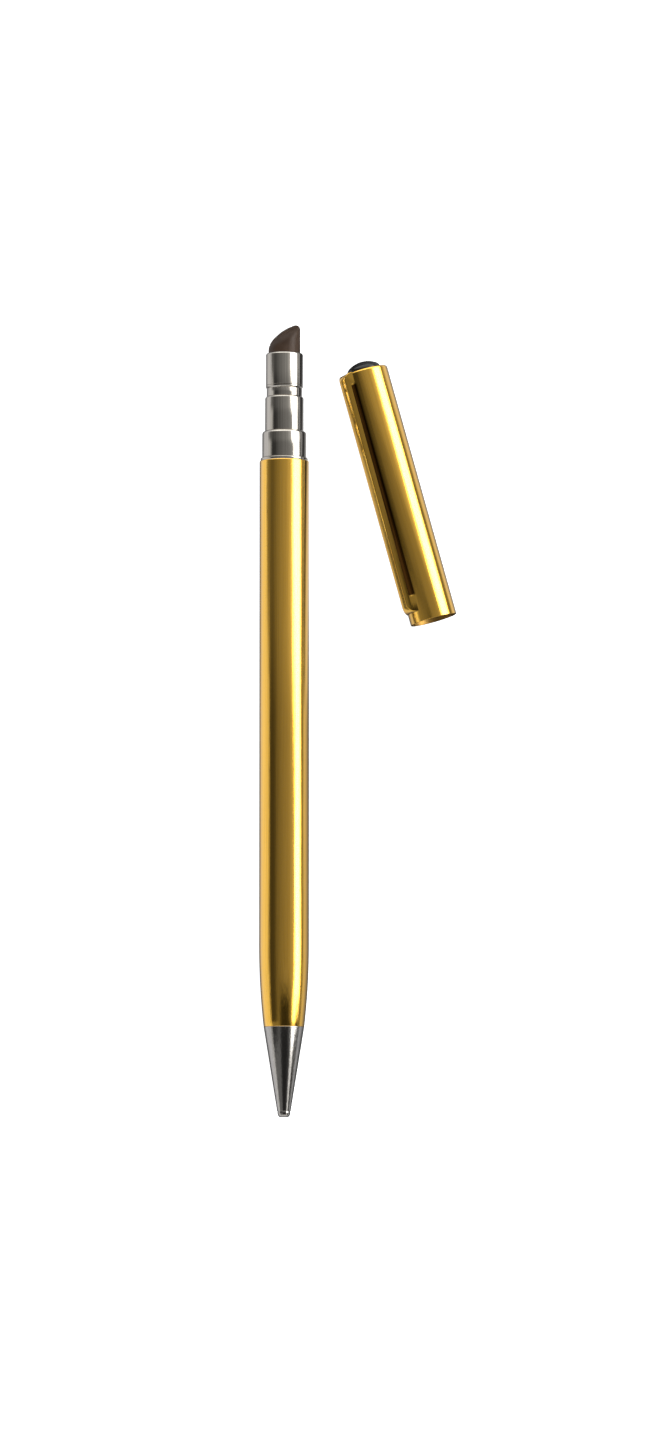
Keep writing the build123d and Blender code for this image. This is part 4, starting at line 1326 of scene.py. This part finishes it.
def slanted_bar(name, radius, base, drop, rounding):
    """A round bar about the pen's axis, cut on the slant; drop lowers the cut along its normal."""
    bpy.ops.object.select_all(action="DESELECT")
    bpy.ops.mesh.primitive_cylinder_add(
        vertices=TIP_SIDES,
        radius=radius,
        depth=2 * (tip_high - base),
        location=(0, tip_high, 0),
        rotation=(pi / 2, 0, 0),
    )
    bar = bpy.context.object
    bar.name = name
    bpy.ops.object.transform_apply(location=True, rotation=True, scale=True)
    on_plane = cut_point - cut_normal * drop
    bpy.ops.object.mode_set(mode="EDIT")
    bpy.ops.mesh.bisect(plane_co=on_plane, plane_no=cut_normal, clear_outer=True, use_fill=True)
    bpy.ops.mesh.select_mode(type="EDGE")
    pick(bar, lambda p: abs((p - on_plane).dot(cut_normal)) < MERGE * 10, "edges")
    bpy.ops.mesh.bevel(offset=rounding, segments=TIP_BEVEL, affect="EDGES", clamp_overlap=False)
    bpy.ops.mesh.select_mode(type="FACE")
    pick(bar, lambda p: abs((p - on_plane).dot(cut_normal)) < MERGE * 10, "faces")
    on_axis = on_plane.dot(cut_normal) / cut_normal.y
    middle = Vector((0, on_axis, 0))
    for ring in range(TIP_RINGS):
        rise = cut_normal * TIP_CROWN * (1 - RING_SHARE**2) * RING_SHARE ** (2 * ring)
        bpy.ops.mesh.extrude_region_move(TRANSFORM_OT_translate={"value": rise})
        bpy.ops.transform.resize(value=(RING_SHARE, RING_SHARE, RING_SHARE), center_override=middle)
    bpy.ops.mesh.select_mode(type="VERT")
    bpy.ops.mesh.select_all(action="SELECT")
    bpy.ops.mesh.normals_make_consistent(inside=False)
    bpy.ops.object.mode_set(mode="OBJECT")
    return bar


suede_tip = slanted_bar("suede_tip", tip_radius - TIP_NAP, tip_low, 0, TIP_ROUND)
pocket = slanted_bar("pocket", tip_radius - TIP_SKIN, tip_low - TIP_SKIN, TIP_SKIN, TIP_ROUND - TIP_SKIN)
cut(suede_tip, pocket)
suede_tip.data.remesh_voxel_size = TIP_GRID
bpy.ops.object.voxel_remesh()
print("suede tip", len(suede_tip.data.polygons), "faces")

# %% Nap of the suede
def press_noise(piece, name, size, strength):
    """Displaces a piece along its normals by a soft noise of a given size."""
    noise = bpy.data.textures.new(name, "CLOUDS")
    noise.noise_scale = size
    noise.noise_depth = 2
    modifier = piece.modifiers.new(name, "DISPLACE")
    modifier.texture = noise
    modifier.texture_coords = "LOCAL"
    modifier.strength = strength
    modifier.mid_level = 0.5
    bpy.ops.object.modifier_apply(modifier=modifier.name)


relax = suede_tip.modifiers.new("relax", "SMOOTH")
relax.factor = 0.5
relax.iterations = 8
bpy.ops.object.modifier_apply(modifier=relax.name)
press_noise(suede_tip, "pillow", 1.6 * MM, 0.05 * MM)
press_noise(suede_tip, "nap", 0.16 * MM, 0.016 * MM)
bpy.ops.object.shade_smooth()
dress(suede_tip, "head", "suede", suede, "cleaning_tip")

# %% [markdown]
# ### Carbon pad
# Deep in the cap sits a disc of dense foam with carbon powder. Each time the cap is closed the
# tip presses into it and takes up fresh powder. Use leaves a shallow dish in its face and its
# cells show as fine pits, so both are modelled.

# %% Carbon pad
PAD_FACE = 20.4 * MM
PAD_BACK = 23.99 * MM
PAD_RADIUS = 2.785 * MM
PAD_NAP = 0.03 * MM
PAD_ROUND = 0.3 * MM
PAD_DISH = 0.25 * MM
PAD_GRID = 0.11 * MM

bpy.ops.object.select_all(action="DESELECT")
bpy.ops.mesh.primitive_cylinder_add(
    vertices=64,
    radius=PAD_RADIUS - PAD_NAP,
    depth=PAD_BACK - PAD_FACE - PAD_NAP,
    location=(0, (PAD_FACE + PAD_BACK + PAD_NAP) / 2, 0),
    rotation=(pi / 2, 0, 0),
)
foam_pad = bpy.context.object
foam_pad.name = "foam_pad"
bpy.ops.object.transform_apply(location=True, rotation=True, scale=True)
bpy.ops.object.mode_set(mode="EDIT")
bpy.ops.mesh.select_mode(type="FACE")
pick(foam_pad, lambda p: p.y < PAD_FACE + 2 * PAD_NAP, "faces")
bpy.ops.mesh.bevel(offset=PAD_ROUND, segments=5, affect="EDGES")
pick(foam_pad, lambda p: p.y < PAD_FACE + 2 * PAD_NAP, "faces")
for ring in range(TIP_RINGS):
    bpy.ops.mesh.extrude_region_move(TRANSFORM_OT_translate={"value": (0, PAD_DISH / TIP_RINGS, 0)})
    bpy.ops.transform.resize(value=(RING_SHARE, 1, RING_SHARE), center_override=(0, PAD_FACE, 0))
bpy.ops.mesh.select_mode(type="VERT")
bpy.ops.object.mode_set(mode="OBJECT")
foam_pad.data.remesh_voxel_size = PAD_GRID
bpy.ops.object.voxel_remesh()
press_noise(foam_pad, "cells", 0.22 * MM, 0.05 * MM)
bpy.ops.object.shade_smooth()
lay_on_cap(foam_pad)
dress(foam_pad, "cap", "carbon_foam", carbon_foam, "carbon_pad")

# %% [markdown]
# ## Inner parts
# The drive, the refill and the parts that hold the nose and the cap together stay as the CAD
# model has them: their shapes are already right, and they show only when the point comes out or
# someone looks in at an end. They still get the finish that each would have from its maker.

# %% Finishes of the inner parts
INNER_FINISH = {
    "nose_bush": brass,
    "guide_sleeve": steel,
    "return_spring": steel,
    "tip_core": pale_plastic,
    "drive_spindle": steel,
    "spindle_circlip": steel,
    "drag_ring": rubber,
    "refill_carrier": pale_plastic,
    "carrier_pin": steel,
    "refill_tube": brass,
    "cap_plug": brass,
    "pad_cup": pale_plastic,
}
for name, material in INNER_FINISH.items():
    node = frame["nodes"][name]
    node.data.materials.clear()
    node.data.materials.append(material)
print("inner parts", len(INNER_FINISH))

# %% [markdown]
# ## What mirrors what
# Polished gold and chrome this close would mirror one another in narrow, restless streaks, and
# throw a gold cast on the paper. Both are switched off, which real metal can't do: the gold pieces
# are left out of mirrored rays, and no piece is met by diffuse rays, so the table shows neither
# a cast nor a contact shadow.

# %% Rays that miss the pieces
unmirrored = [gold_barrel, cap_shell, cap_button, cap_lining, gold_clip, foam_pad]
unmirrored += [frame["nodes"][name] for name in ("cap_plug", "pad_cup")]
for piece in unmirrored:
    piece.visible_glossy = False
for piece in bpy.context.scene.objects:
    if piece.type == "MESH" and piece.name != "table":
        piece.visible_diffuse = False
print("left out of mirrored rays", len(unmirrored))
